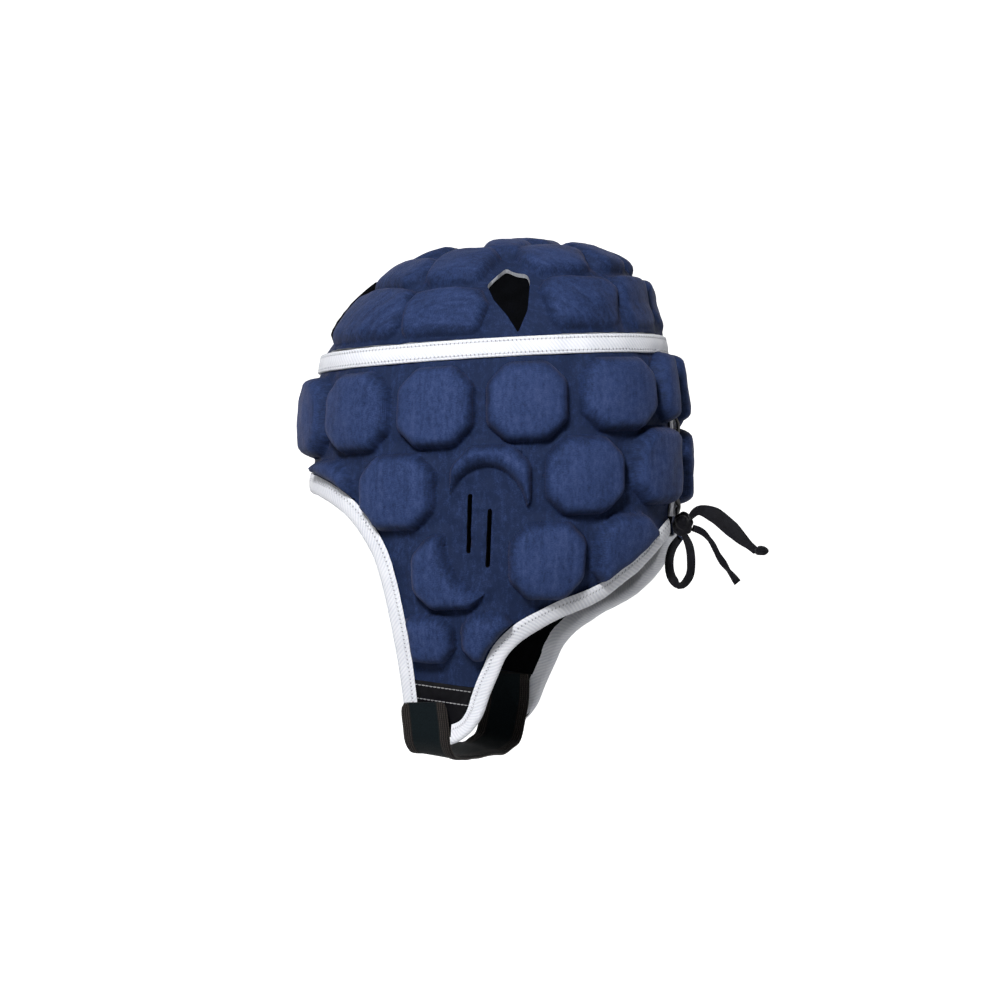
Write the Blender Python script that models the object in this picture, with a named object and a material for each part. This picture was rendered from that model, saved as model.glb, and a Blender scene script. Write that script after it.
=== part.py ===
"""Rugby scrum cap: padded stretch panels with a laced back and a chin strap.

The cap keeps the form it has on a head.  +Z is up, -Y is the forehead, +X is the wearer's left, and
the origin is the inside of the crown, where the top of the head rests.

Panels are drawn flat and wrapped on a head form.  The side pattern has two measures: round, the way
round the head from the middle of the forehead towards the wearer's left ear, and drop, the way down
from the seam under the crown.  The crown pattern is a disc, with its rim at that seam.
"""
import math

import bmesh
import bpy
import numpy as np
from mathutils import Vector
from mathutils.geometry import delaunay_2d_cdt

# Driving dimensions, in metres
HEAD_LENGTH = 0.190
HEAD_BREADTH = 0.152
CROWN_RISE = 0.050
PANEL_DROP = 0.210
CROWN_BACK = 0.013
SHEET = 0.0030
PAD_RISE = 0.0085
CROWN_PAD_RISE = 0.0065
PAD_SHOULDER = 0.0095
PAD_GAP = 0.0036
PAD_CORNER_SHARE = 0.25
LINING = 0.0008
LINING_GAP = 0.0009
FOLD_GAP = 0.0008
BINDING_WIDTH = 0.0105
BINDING_CLOTH = 0.0010
BINDING_TURN = 1.6
GAP_BINDING_WIDTH = 0.0075
GAP_TOP = 0.003
GAP_FOOT = 0.009
BAND_WIDTH = 0.0098
SLOT_WIDTH = 0.0024
TAB_SHEET = 0.0024
STRAP_WIDTH = 0.026
STRAP_THICK = 0.0022
STRAP_FAR_SAG = 0.0028
STRAP_STEP = 0.006
LACE_WIDTH = 0.0044
LACE_THICK = 0.0010
EDGE_INSET = 0.0016
VENT_MARGIN = 0.0035
CROWN_PAD_LIMIT = 0.968
KNOT_SIZE = (0.010, 0.010, 0.012)
KNOT_PLACE = (0.0, 0.1040, -0.1440)
CLEAR = 0.0003

# Steps that find a surface's normal: a length on the side pattern and a share of the crown's radius
SIDE_PROBE = 0.0005
CROWN_PROBE = 0.004

# Shapes of a pad: softness of its corners, roundness of its rim and the depth that has a middle point
PAD_CORNER_SOFT = 0.45
PAD_ROUNDNESS = 2.4
PAD_CROWN_DEPTH = 0.003

# Slope of the crown seam, rising to the back, and how far the crown band laps over it
BAND_SLOPE = 0.055
BAND_DROP = -0.0010
SEAM_OVERLAP = 0.0010

# Mesh spacings along seams, across the panels' insides and round the pads
SEAM_STEP = 0.0088
GAP_STEP = 0.0132
LACE_STEP = 0.005
INNER_STEP = 0.0165
MESH_MARGIN = 0.004
BAND_SPANS = 64
CONTOUR_CELLS = 60
CONTOUR_MARGIN = 0.002
CONTOUR_LEAST = 5
PAD_LEVELS = (-0.0003, 0.0013, 0.0055)
PAD_STEPS = (0.0086, 0.0090, 0.0105)

# Head form below the seam: lengths as shares of the half length and half breadth
SECTION_COLUMNS = ("drop", "front", "back", "half", "power")
SECTIONS = (
    (-0.10, 0.90, 0.91, 0.915, 2.15),
    (0.00, 0.94, 0.945, 0.955, 2.15),
    (0.13, 0.985, 0.985, 0.99, 2.15),
    (0.27, 1.00, 1.00, 1.00, 2.15),
    (0.415, 1.00, 1.00, 0.99, 2.15),
    (0.52, 0.97, 0.96, 0.965, 2.15),
    (0.61, 0.94, 0.84, 0.935, 2.15),
    (0.68, 0.91, 0.65, 0.90, 2.2),
    (0.74, 0.88, 0.50, 0.86, 2.3),
    (0.83, 0.83, 0.46, 0.80, 2.4),
    (1.00, 0.76, 0.45, 0.72, 2.6),
)

# Crown form: reach from the top's middle to the seam, against the rise above the seam
CROWN_COLUMNS = ("rise", "front", "back", "half")
CROWN_FORM = (
    (0.00, 1.00, 1.00, 1.00),
    (0.10, 0.955, 0.97, 0.98),
    (0.28, 0.875, 0.925, 0.93),
    (0.50, 0.77, 0.865, 0.83),
    (0.68, 0.655, 0.79, 0.71),
    (0.80, 0.55, 0.70, 0.60),
    (0.90, 0.41, 0.55, 0.45),
    (0.97, 0.235, 0.335, 0.26),
    (1.00, 0.00, 0.00, 0.00),
)

# Side pads, as shares of the half round and of the panel's drop; the left ones are mirrored
PAD_COLUMNS = ("round", "drop", "half_round", "half_drop")
MIDDLE_PADS = (
    (0.000, 0.155, 0.080, 0.110),
)
SIDE_PADS = (
    (0.152, 0.157, 0.072, 0.110),
    (0.298, 0.157, 0.083, 0.110),
    (0.465, 0.157, 0.083, 0.110),
    (0.637, 0.155, 0.083, 0.108),
    (0.816, 0.142, 0.088, 0.104),
    (0.936, 0.127, 0.033, 0.096),
    (0.212, 0.362, 0.083, 0.104),
    (0.388, 0.358, 0.085, 0.104),
    (0.569, 0.352, 0.083, 0.106),
    (0.742, 0.340, 0.083, 0.106),
    (0.899, 0.322, 0.072, 0.106),
    (0.489, 0.560, 0.085, 0.102),
    (0.6765, 0.542, 0.081, 0.102),
    (0.836, 0.525, 0.078, 0.098),
    (0.430, 0.722, 0.070, 0.070),
    (0.561, 0.722, 0.063, 0.070),
)

# Crown pads on the flat disc: azimuth from the forehead, reach and half sizes as shares of its radius
CROWN_PAD_COLUMNS = ("azimuth", "reach", "half_across", "half_reach")
CROWN_MIDDLE_PADS = (
    (0.0, 0.365, 0.165, 0.135),
    (180.0, 0.03, 0.175, 0.175),
)
CROWN_SIDE_PADS = (
    (45.0, 0.815, 0.315, 0.165),
    (83.0, 0.830, 0.285, 0.155),
    (140.5, 0.795, 0.225, 0.185),
    (167.5, 0.785, 0.160, 0.190),
    (40.0, 0.540, 0.225, 0.120),
    (80.0, 0.500, 0.190, 0.165),
    (103.0, 0.300, 0.140, 0.130),
    (134.0, 0.455, 0.165, 0.155),
    (166.0, 0.400, 0.110, 0.170),
)

# Openings in the crown, as (across, back) points on the flat disc, from its middle
FRONT_VENT = ((0.000, -0.53), (0.075, -0.62), (0.110, -0.72), (0.060, -0.86), (0.000, -0.955))
SIDE_VENT = (
    (0.490, 0.155), (0.515, 0.235), (0.500, 0.285), (0.560, 0.330),
    (0.735, 0.400), (0.885, 0.405), (0.820, 0.310), (0.745, 0.185), (0.650, 0.105),
)

# Hems and foot seams, as (round, drop) shares along the bindings' outer edges
FRONT_HEM = (
    (0.000, 0.343), (0.090, 0.347), (0.161, 0.357), (0.220, 0.381), (0.264, 0.414), (0.298, 0.462),
    (0.322, 0.517), (0.336, 0.586), (0.344, 0.662), (0.347, 0.738), (0.346, 0.833), (0.345, 0.955),
)
REAR_HEM = (
    (0.981, 0.500), (0.961, 0.512), (0.941, 0.528), (0.920, 0.550), (0.887, 0.584), (0.863, 0.604),
    (0.821, 0.642), (0.795, 0.657), (0.760, 0.672), (0.724, 0.686), (0.690, 0.704), (0.630, 0.743),
    (0.601, 0.778), (0.583, 0.823), (0.559, 0.885), (0.542, 0.936), (0.522, 0.966), (0.500, 0.982), (0.482, 0.988),
)
PANEL_FOOT = ((0.320, 0.812), (0.580, 0.862))
TAB_FOOT = ((0.466, 0.978), (0.345, 0.955))

# Ear patch, an oval left flat round two slots, as the side pads are given, and the slots' ends
EAR_PATCH = (
    (0.560, 0.462, 0.074, 0.141),
)
EAR_SLOTS = (
    ((0.5297, 0.377), (0.5253, 0.513)),
    ((0.5674, 0.416), (0.5626, 0.550)),
)

# Chin strap: its ends on the two tabs, its lowest drop and its line under the chin, all as shares
STRAP_NEAR_ROUND = 0.4045
STRAP_NEAR_DROP = (0.878, 0.940)
STRAP_FAR_ROUND = 0.465
STRAP_FAR_DROP = (0.850, 0.905)
STRAP_UNDER = 1.0262
STRAP_LEAN = math.radians(12)
STRAP_UNDER_COLUMNS = ("across", "sink")
STRAP_UNDER_LINE = (
    (0.97, 0.45), (0.86, 0.85), (0.60, 1.0), (0.0, 1.0), (-0.54, 1.0), (-0.78, 0.85), (-0.91, 0.45),
)
STRAP_END_WIDTHS = (0.86, 0.94)
STRAP_SECTION = ((-1, -0.5), (-1, 0.2), (-0.93, 0.5), (0.93, 0.5), (1, 0.2), (1, -0.5))

# Lacing: crossings as round side (+1 left, -1 right) and drop, and the bow's routes in metres
LACE_REACH = 0.62
LACE_CROSSINGS = (
    (-1, 0.062), (1, 0.115), (-1, 0.170), (1, 0.225), (-1, 0.280), (1, 0.335),
    (-1, 0.390), (1, 0.425), (0, 0.438),
)
LACE_ROUTES = {
    "lace_loop": (
        (0.0019, 0.1053, -0.1498), (0.0036, 0.1078, -0.1545), (0.0045, 0.1092, -0.1628),
        (0.0040, 0.1078, -0.1720), (0.0033, 0.1035, -0.1762), (0.0022, 0.0990, -0.1730),
        (0.0008, 0.0968, -0.1645), (-0.0012, 0.0984, -0.1560), (-0.0027, 0.1016, -0.1508),
    ),
    "lace_tail_long": (
        (0.0019, 0.1082, -0.1407), (0.0036, 0.1130, -0.1368), (0.0055, 0.1208, -0.1384),
        (0.0065, 0.1296, -0.1448), (0.0075, 0.1378, -0.1522), (0.0080, 0.1450, -0.1580),
    ),
    "lace_tail_short": (
        (-0.0024, 0.1085, -0.1457), (-0.0035, 0.1130, -0.1478), (-0.0045, 0.1178, -0.1530),
        (-0.0050, 0.1220, -0.1600), (-0.0055, 0.1268, -0.1680), (-0.0060, 0.1324, -0.1750),
    ),
}


# Colour and roughness of each material
MATERIALS = {
    "navy_jersey": ((0.035, 0.055, 0.145), 0.78),
    "white_twill": ((0.80, 0.82, 0.85), 0.80),
    "black_lining": ((0.012, 0.013, 0.017), 0.70),
    "black_webbing": ((0.016, 0.017, 0.021), 0.60),
    "black_lace": ((0.012, 0.012, 0.014), 0.50),
}


def rows(table, columns):
    """The rows of a short table, each value under its column's name."""
    return [dict(zip(columns, row)) for row in table]


def shares(table, columns):
    """One array for each named column of a short table."""
    return dict(zip(columns, np.array(table, dtype=float).T))


def curve_value(table, columns, along, name, where):
    """A column read smoothly between its rows, and straight on past them."""
    cols = shares(table, columns)
    xs = cols[along]
    ys = cols[name]
    slopes = np.gradient(ys, xs)
    slopes[0] = (ys[1] - ys[0]) / (xs[1] - xs[0])
    slopes[-1] = (ys[-1] - ys[-2]) / (xs[-1] - xs[-2])
    where = np.asarray(where, dtype=float)
    i = np.clip(np.searchsorted(xs, where, side="right") - 1, 0, len(xs) - 2)
    step = xs[i + 1] - xs[i]
    t = np.clip((where - xs[i]) / step, 0.0, 1.0)
    smooth = (
        (2 * t**3 - 3 * t**2 + 1) * ys[i]
        + (t**3 - 2 * t**2 + t) * slopes[i] * step
        + (3 * t**2 - 2 * t**3) * ys[i + 1]
        + (t**3 - t**2) * slopes[i + 1] * step
    )
    below = np.minimum(where - xs[0], 0.0) * slopes[0]
    above = np.maximum(where - xs[-1], 0.0) * slopes[-1]
    return smooth + below + above


def ring_point(azimuth, z):
    """A point on the head form at an azimuth from the forehead and a height."""
    drop = (-CROWN_RISE - z) / PANEL_DROP
    front = curve_value(SECTIONS, SECTION_COLUMNS, "drop", "front", drop) * HEAD_LENGTH / 2
    back = curve_value(SECTIONS, SECTION_COLUMNS, "drop", "back", drop) * HEAD_LENGTH / 2
    half = curve_value(SECTIONS, SECTION_COLUMNS, "drop", "half", drop) * HEAD_BREADTH / 2
    power = curve_value(SECTIONS, SECTION_COLUMNS, "drop", "power", drop)
    along = np.cos(azimuth)
    across = np.sin(azimuth)
    run = np.where(along > 0, front, back)
    reach = (np.abs(across / half) ** power + np.abs(along / run) ** power) ** (-1 / power)
    return np.stack([reach * across, -reach * along, z + 0 * reach], axis=-1)


def round_table():
    """Length round the widest section against the azimuth, over half the head."""
    azimuth = np.linspace(0, math.pi, 361)
    widest = -CROWN_RISE - SECTIONS[3][0] * PANEL_DROP
    points = ring_point(azimuth, np.full_like(azimuth, widest))
    steps = np.linalg.norm(np.diff(points, axis=0), axis=1)
    return azimuth, np.concatenate([[0.0], np.cumsum(steps)])


ROUND_AZIMUTH, ROUND_LENGTH = round_table()
HALF_ROUND = float(ROUND_LENGTH[-1])


def azimuth_of(length):
    """Azimuth at a length round the head; past the back's middle it carries on round."""
    size = np.abs(length)
    past = np.maximum(size - HALF_ROUND, 0.0)
    inside = np.interp(size - 2 * past, ROUND_LENGTH, ROUND_AZIMUTH)
    turned = np.where(past > 0, 2 * math.pi - inside, inside)
    return np.sign(length) * turned


def seam_height(azimuth):
    """Height of the crown seam, which climbs to the back."""
    level = ring_point(azimuth, np.full_like(np.asarray(azimuth, dtype=float), -CROWN_RISE))
    return -CROWN_RISE + BAND_SLOPE * level[..., 1]


def side_surface(length, drop):
    """The head form at a place of the side pattern."""
    azimuth = azimuth_of(np.asarray(length, dtype=float))
    return ring_point(azimuth, seam_height(azimuth) - drop)


def wrapped(surface, first, second, height, step, middle):
    """Places of a flat pattern laid on a surface and raised from it along its normal."""
    along = surface(first + step, second) - surface(first - step, second)
    across = surface(first, second + step) - surface(first, second - step)
    normal = np.cross(along, across)
    normal /= np.linalg.norm(normal, axis=-1, keepdims=True)
    points = surface(first, second)
    outward = np.sum(normal * (points - middle(points)), axis=-1, keepdims=True)
    return points + np.sign(outward) * normal * np.asarray(height)[..., None]


def side_wrap(pattern, height):
    """Side pattern places (length round, drop) in space, at a height over the head form."""
    pattern = np.asarray(pattern, dtype=float)
    length = pattern[..., 0]
    drop = pattern[..., 1]
    height = np.broadcast_to(np.asarray(height, dtype=float), length.shape)
    return wrapped(side_surface, length, drop, height, SIDE_PROBE, lambda p: p * [0.0, 0.0, 1.0])


def crown_surface_at(azimuth, rise):
    """The crown form at an azimuth and a rise above the seam."""
    seam = seam_height(azimuth)
    rim = ring_point(azimuth, seam)
    front = curve_value(CROWN_FORM, CROWN_COLUMNS, "rise", "front", rise)
    back = curve_value(CROWN_FORM, CROWN_COLUMNS, "rise", "back", rise)
    half = curve_value(CROWN_FORM, CROWN_COLUMNS, "rise", "half", rise)
    along = np.cos(azimuth)
    reach = np.where(along > 0, front, back) * along**2 + half * (1 - along**2)
    x = rim[..., 0] * reach
    y = CROWN_BACK * (1 - reach) + rim[..., 1] * reach
    return np.stack([x, y, seam * (1 - rise)], axis=-1)


def crown_profile():
    """Rise above the seam against the way from the top's middle, at the side."""
    rise = np.linspace(1, 0, 201)
    points = crown_surface_at(np.full_like(rise, math.pi / 2), rise)
    steps = np.linalg.norm(np.diff(points, axis=0), axis=1)
    way = np.concatenate([[0.0], np.cumsum(steps)])
    return way / way[-1], rise, float(way[-1])


PROFILE_WAY, PROFILE_RISE, CROWN_RADIUS = crown_profile()


def crown_surface(across, back):
    """The crown form at a place of the flat disc."""
    way = np.hypot(across, back)
    azimuth = np.arctan2(across, -back)
    inside = np.interp(way, PROFILE_WAY, PROFILE_RISE)
    past = np.maximum(way - 1.0, 0.0) * CROWN_RADIUS
    points = crown_surface_at(azimuth, inside)
    points[..., 2] -= past
    return points


def crown_wrap(pattern, height):
    """Disc places in space, at a height over the crown form."""
    pattern = np.asarray(pattern, dtype=float)
    height = np.broadcast_to(np.asarray(height, dtype=float), pattern.shape[:-1])
    middle = np.array([0.0, CROWN_BACK, -2 * CROWN_RISE])
    return wrapped(crown_surface, pattern[..., 0], pattern[..., 1], height, CROWN_PROBE, lambda p: middle)


def smooth_line(points, step):
    """A smooth open line through a few points, at about an even step."""
    points = np.asarray(points, dtype=float)
    way = np.concatenate([[0.0], np.cumsum(np.linalg.norm(np.diff(points, axis=0), axis=1))])
    slopes = np.gradient(points, way, axis=0)
    dense = np.linspace(0, way[-1], 40 * len(points))
    i = np.clip(np.searchsorted(way, dense, side="right") - 1, 0, len(way) - 2)
    run = (way[i + 1] - way[i])[:, None]
    t = (dense[:, None] - way[i][:, None]) / run
    line = (
        (2 * t**3 - 3 * t**2 + 1) * points[i]
        + (t**3 - 2 * t**2 + t) * slopes[i] * run
        + (3 * t**2 - 2 * t**3) * points[i + 1]
        + (t**3 - t**2) * slopes[i + 1] * run
    )
    return even_line(line, step)


def even_line(line, step, closed=False):
    """The same line with its points at an even step."""
    line = np.asarray(line, dtype=float)
    if closed:
        line = np.vstack([line, line[:1]])
    way = np.concatenate([[0.0], np.cumsum(np.linalg.norm(np.diff(line, axis=0), axis=1))])
    count = max(int(round(way[-1] / step)), 1)
    where = np.linspace(0, way[-1], count + 1)
    even = np.stack([np.interp(where, way, line[:, k]) for k in range(line.shape[1])], axis=-1)
    return even[:-1] if closed else even


def side_normals(line):
    """Unit normals to the right of an open line's way, in its plane."""
    way = np.gradient(line, axis=0)
    way /= np.linalg.norm(way, axis=1, keepdims=True)
    return np.stack([-way[:, 1], way[:, 0]], axis=-1)


def mirrored(points):
    """The points of a flat line on the other side of its middle."""
    return np.asarray(points, dtype=float) * [-1.0, 1.0]


def side_lengths(points):
    """Table shares of the half round and the drop as lengths, pair by pair."""
    return np.asarray(points, dtype=float).reshape(-1, 2) * [HALF_ROUND, PANEL_DROP]


def front_hem_line(step):
    """Outer edge of the front binding, from the wearer's left strap to the right one."""
    left = side_lengths(FRONT_HEM)
    return smooth_line(np.vstack([left[::-1], mirrored(left[1:])]), step)


def rear_hem_line(step):
    """Outer edge of the left rear binding, from the gap down to the strap."""
    return smooth_line(side_lengths(REAR_HEM), step)


def gap_line(step):
    """Left edge of the laced gap, from under the crown band down to the neck."""
    top = (HALF_ROUND - GAP_TOP / 2, BAND_DROP + BAND_WIDTH + CLEAR)
    foot = (HALF_ROUND - GAP_FOOT / 2, REAR_HEM[0][1] * PANEL_DROP - BINDING_WIDTH - CLEAR)
    return even_line(np.array([top, foot]), step)


def inset(line, way):
    """An open line moved into the panel; hems and gap run with the panel on their left."""
    return line + side_normals(line) * way


def foot_drop(length):
    """Drop of the seam between panel and chin tab, at a length round the head."""
    foot = side_lengths(PANEL_FOOT)
    slope = (foot[1, 1] - foot[0, 1]) / (foot[1, 0] - foot[0, 0])
    return foot[0, 1] + (length - foot[0, 0]) * slope


def joined_outline(parts, step):
    """A closed outline from flat lines; the ends of each line stay as corners."""
    lines = []
    for k, part in enumerate(parts):
        following = parts[(k + 1) % len(parts)][:1]
        lines.append(even_line(part, step)[:-1] if len(part) > 1 else part[:0])
        lines.append(even_line(np.vstack([part[-1:], following]), step)[:-1])
    return np.vstack(lines)


def side_panel_outline(edge, seam_drop, step):
    """Outline of the whole side panel, its edges set in from the bindings' outer edges."""
    fine = step / 10
    front = inset(front_hem_line(fine), edge)
    front = front[front[:, 1] < foot_drop(np.abs(front[:, 0]))]
    rear = inset(rear_hem_line(fine), edge)
    gap_side = HALF_ROUND - GAP_FOOT / 2 - edge
    rear = rear[(rear[:, 1] < foot_drop(rear[:, 0])) & (rear[:, 0] < gap_side)]
    rear[0, 0] = gap_side
    gap_top = np.array([[HALF_ROUND - GAP_TOP / 2 - edge, seam_drop]])
    return joined_outline([mirrored(gap_top), gap_top, rear, front, mirrored(rear[::-1])], step)


def tab_outline(edge, step):
    """Outline of the left chin tab, below the panel's foot seam."""
    fine = step / 10
    front = inset(front_hem_line(fine), edge)
    seam = foot_drop(front[:, 0]) + 2 * CLEAR
    foot = side_lengths(TAB_FOOT)
    front = front[(front[:, 0] >= 0) & (front[:, 1] > seam) & (front[:, 1] < foot[1, 1])]
    rear = inset(rear_hem_line(fine), edge)
    rear = rear[(rear[:, 1] > foot_drop(rear[:, 0]) + 2 * CLEAR) & (rear[:, 1] < foot[0, 1])]
    return joined_outline([rear, front], step)


def signed_distance(points, loop):
    """Distance of places from a closed flat loop, more than zero inside it."""
    points = np.asarray(points, dtype=float)
    start = np.asarray(loop, dtype=float)
    end = np.roll(start, -1, axis=0)
    run = end - start
    offset = points[..., None, :] - start
    share = np.sum(offset * run, axis=-1) / np.sum(run * run, axis=-1)
    share = np.clip(share, 0.0, 1.0)
    nearest = np.linalg.norm(offset - share[..., None] * run, axis=-1).min(axis=-1)
    above = start[:, 1] > points[..., 1, None]
    crosses = above != np.roll(above, -1, axis=-1)
    slope = np.where(np.abs(run[:, 1]) > 1e-12, run[:, 0] / np.where(run[:, 1] == 0, 1, run[:, 1]), 0)
    side = points[..., 0, None] < start[:, 0] + (points[..., 1, None] - start[:, 1]) * slope
    inside = np.sum(crosses & side, axis=-1) % 2 == 1
    return np.where(inside, nearest, -nearest)


def octagon_depth(points, centre, half, turn=0.0):
    """Depth inside an upright pad with cut, softened corners; less than zero outside."""
    offset = np.asarray(points, dtype=float) - centre
    c = math.cos(turn)
    s = math.sin(turn)
    u = np.abs(offset[..., 0] * c + offset[..., 1] * s)
    w = np.abs(offset[..., 1] * c - offset[..., 0] * s)
    corner = PAD_CORNER_SHARE * (half[0] + half[1])
    flat = np.minimum(half[0] - u, half[1] - w)
    cut = (half[0] + half[1] - corner - u - w) / math.sqrt(2)
    soft = corner * PAD_CORNER_SOFT
    blend = np.clip(0.5 + 0.5 * (cut - flat) / soft, 0.0, 1.0)
    return cut + (flat - cut) * blend - soft * blend * (1 - blend)


def pad_profile(depth, shoulder):
    """Height of a pad as a share, from its rim in to its crown."""
    share = np.clip(depth / shoulder, 0.0, 1.0)
    return np.sqrt(np.clip(1 - (1 - share) ** PAD_ROUNDNESS, 0.0, 1.0))


def contour(depth_of, centre, reach, level, step):
    """The longest closed line round a pad at one depth, at about an even step."""
    count = CONTOUR_CELLS + 1
    xs = np.linspace(centre[0] - reach[0], centre[0] + reach[0], count)
    ys = np.linspace(centre[1] - reach[1], centre[1] + reach[1], count)
    grid = np.stack(np.meshgrid(xs, ys, indexing="ij"), axis=-1)
    values = depth_of(grid) - level
    values[[0, -1], :] = np.minimum(values[[0, -1], :], -1e-6)
    values[:, [0, -1]] = np.minimum(values[:, [0, -1]], -1e-6)
    links = {}
    for i in range(count - 1):
        for j in range(count - 1):
            corners = ((i, j), (i + 1, j), (i + 1, j + 1), (i, j + 1))
            signs = [values[c] > 0 for c in corners]
            if all(signs) or not any(signs):
                continue
            enter = []
            leave = []
            for k in range(4):
                one = corners[k]
                two = corners[(k + 1) % 4]
                if signs[k] and not signs[(k + 1) % 4]:
                    leave.append((one, two))
                if not signs[k] and signs[(k + 1) % 4]:
                    enter.append((two, one))
            for start, end in zip(leave, enter):
                links[start] = end
    best = []
    while links:
        start, here = links.popitem()
        ring = [start]
        while here in links:
            ring.append(here)
            here = links.pop(here)
        if len(ring) > len(best):
            best = ring
    if not best:
        return None
    points = []
    for one, two in best:
        share = values[one] / (values[one] - values[two])
        points.append(grid[one] + (grid[two] - grid[one]) * share)
    points = np.array(points)
    line = even_line(points, step, closed=True)
    return line if len(line) >= CONTOUR_LEAST else None


def triangulated(loops, points, inside):
    """Flat triangles through closed lines and points, where inside says so."""
    flat = []
    edges = []
    for loop in loops:
        start = len(flat)
        flat.extend(Vector(p) for p in loop)
        last = len(flat)
        edges.extend((k, k + 1) for k in range(start, last - 1))
        edges.append((last - 1, start))
    flat.extend(Vector(p) for p in points)
    places, _, faces, _, _, _ = delaunay_2d_cdt(flat, edges, [], 0, 1e-7)
    places = np.array([tuple(p) for p in places])
    faces = [tuple(face) for face in faces]
    middles = np.array([places[list(face)].mean(axis=0) for face in faces])
    keep = inside(middles)
    return places, [face for face, kept in zip(faces, keep) if kept]


def turned_up(places, faces):
    """Faces turned so that their flat area counts as more than zero."""
    out = []
    for face in faces:
        a, b, c = (places[k] for k in face[:3])
        area = (b[0] - a[0]) * (c[1] - a[1]) - (b[1] - a[1]) * (c[0] - a[0])
        out.append(face if area > 0 else face[::-1])
    return out


def make_material(name, colour, roughness):
    """A plain cloth material."""
    material = bpy.data.materials.new(name)
    material.use_nodes = True
    shader = material.node_tree.nodes["Principled BSDF"]
    shader.inputs["Base Color"].default_value = (*colour, 1.0)
    shader.inputs["Roughness"].default_value = roughness
    shader.inputs["Metallic"].default_value = 0.0
    material.diffuse_color = (*colour, 1.0)
    return material


def make_object(collection, name, places, faces, material):
    """A mesh object whose faces are made to point out."""
    mesh = bpy.data.meshes.new(name)
    mesh.from_pydata([tuple(p) for p in places], [], [tuple(f) for f in faces])
    built = bmesh.new()
    built.from_mesh(mesh)
    bmesh.ops.remove_doubles(built, verts=built.verts, dist=1e-6)
    bmesh.ops.recalc_face_normals(built, faces=built.faces)
    if built.calc_volume(signed=True) < 0:
        bmesh.ops.reverse_faces(built, faces=built.faces)
    built.to_mesh(mesh)
    built.free()
    mesh.shade_smooth()
    mesh.set_sharp_from_angle(angle=math.radians(50))
    mesh.materials.append(material)
    made = bpy.data.objects.new(name, mesh)
    collection.objects.link(made)
    return made


def boundary_edges(faces):
    """Directed edges that only one face has."""
    seen = set()
    for face in faces:
        for k in range(len(face)):
            seen.add((face[k], face[(k + 1) % len(face)]))
    return [edge for edge in seen if (edge[1], edge[0]) not in seen]


def border_loops(places, faces):
    """The closed outlines of a flat mesh, as places in their order."""
    following = dict(boundary_edges(faces))
    loops = []
    while following:
        start, here = following.popitem()
        loop = [start]
        while here in following:
            loop.append(here)
            here = following.pop(here)
        loops.append(places[loop])
    return loops


def padded_sheet(collection, name, wrap, inside, outer_loops, outer_points, inner_points, top, base, material):
    """A closed panel between a top face and an even inner face, joined round every outline."""
    outer, outer_faces = triangulated(outer_loops, outer_points, inside)
    outer_faces = turned_up(outer, outer_faces)
    inner, inner_faces = triangulated(border_loops(outer, outer_faces), inner_points, inside)
    inner_faces = turned_up(inner, inner_faces)
    places = np.vstack([wrap(outer, top(outer)), wrap(inner, base)])
    shift = len(outer)
    faces = list(outer_faces)
    faces.extend(tuple(k + shift for k in reversed(face)) for face in inner_faces)
    nearest = {tuple(np.round(p, 7)): k for k, p in enumerate(inner)}
    for one, two in boundary_edges(outer_faces):
        low_one = nearest[tuple(np.round(outer[one], 7))] + shift
        low_two = nearest[tuple(np.round(outer[two], 7))] + shift
        faces.append((two, one, low_one, low_two))
    return make_object(collection, name, places, faces, material)


def plain_sheet(collection, name, wrap, outline, holes, low, high, step, material):
    """A thin even sheet between two heights over the head form, with its holes."""
    points = grid_points(outline, step, in_region(outline, holes, MESH_MARGIN))
    return padded_sheet(
        collection, name, wrap, in_region(outline, holes), [outline] + holes, points, points,
        lambda places: np.full(len(places), high), low, material,
    )


def mirrored_object(collection, source, name):
    """The same solid on the wearer's right side."""
    places = [(-vert.co.x, vert.co.y, vert.co.z) for vert in source.data.vertices]
    faces = [tuple(reversed(face.vertices)) for face in source.data.polygons]
    return make_object(collection, name, places, faces, source.data.materials[0])


def swept_strip(collection, name, wrap, line, section, material, closed=False):
    """A strip along a flat line, with a section of (way in from the line, height) points."""
    line = np.asarray(line, dtype=float)
    normals = side_normals(line)
    rings = [wrap(line + normals * way, height) for way, height in section]
    places = np.stack(rings, axis=1).reshape(-1, 3)
    count = len(section)
    faces = []
    for k in range(len(line) if closed else len(line) - 1):
        here = k * count
        there = ((k + 1) % len(line)) * count
        for m in range(count):
            n = (m + 1) % count
            faces.append((here + m, here + n, there + n, there + m))
    if not closed:
        faces.append(tuple(range(count)))
        faces.append(tuple(reversed(range(len(places) - count, len(places)))))
    return make_object(collection, name, places, faces, material)


def binding_section(width):
    """A tape folded over a panel's edge, as (way in from the outer edge, height) points."""
    top = SHEET + 2 * CLEAR
    low = -FOLD_GAP
    cloth = BINDING_CLOTH
    turn = BINDING_TURN * cloth
    return (
        (width, top), (width, top + cloth), (turn, top + cloth), (0.0, SHEET * 0.75),
        (0.0, SHEET * 0.25), (turn, low - cloth), (width, low - cloth), (width, low),
        (cloth, low), (cloth, top),
    )


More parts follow.
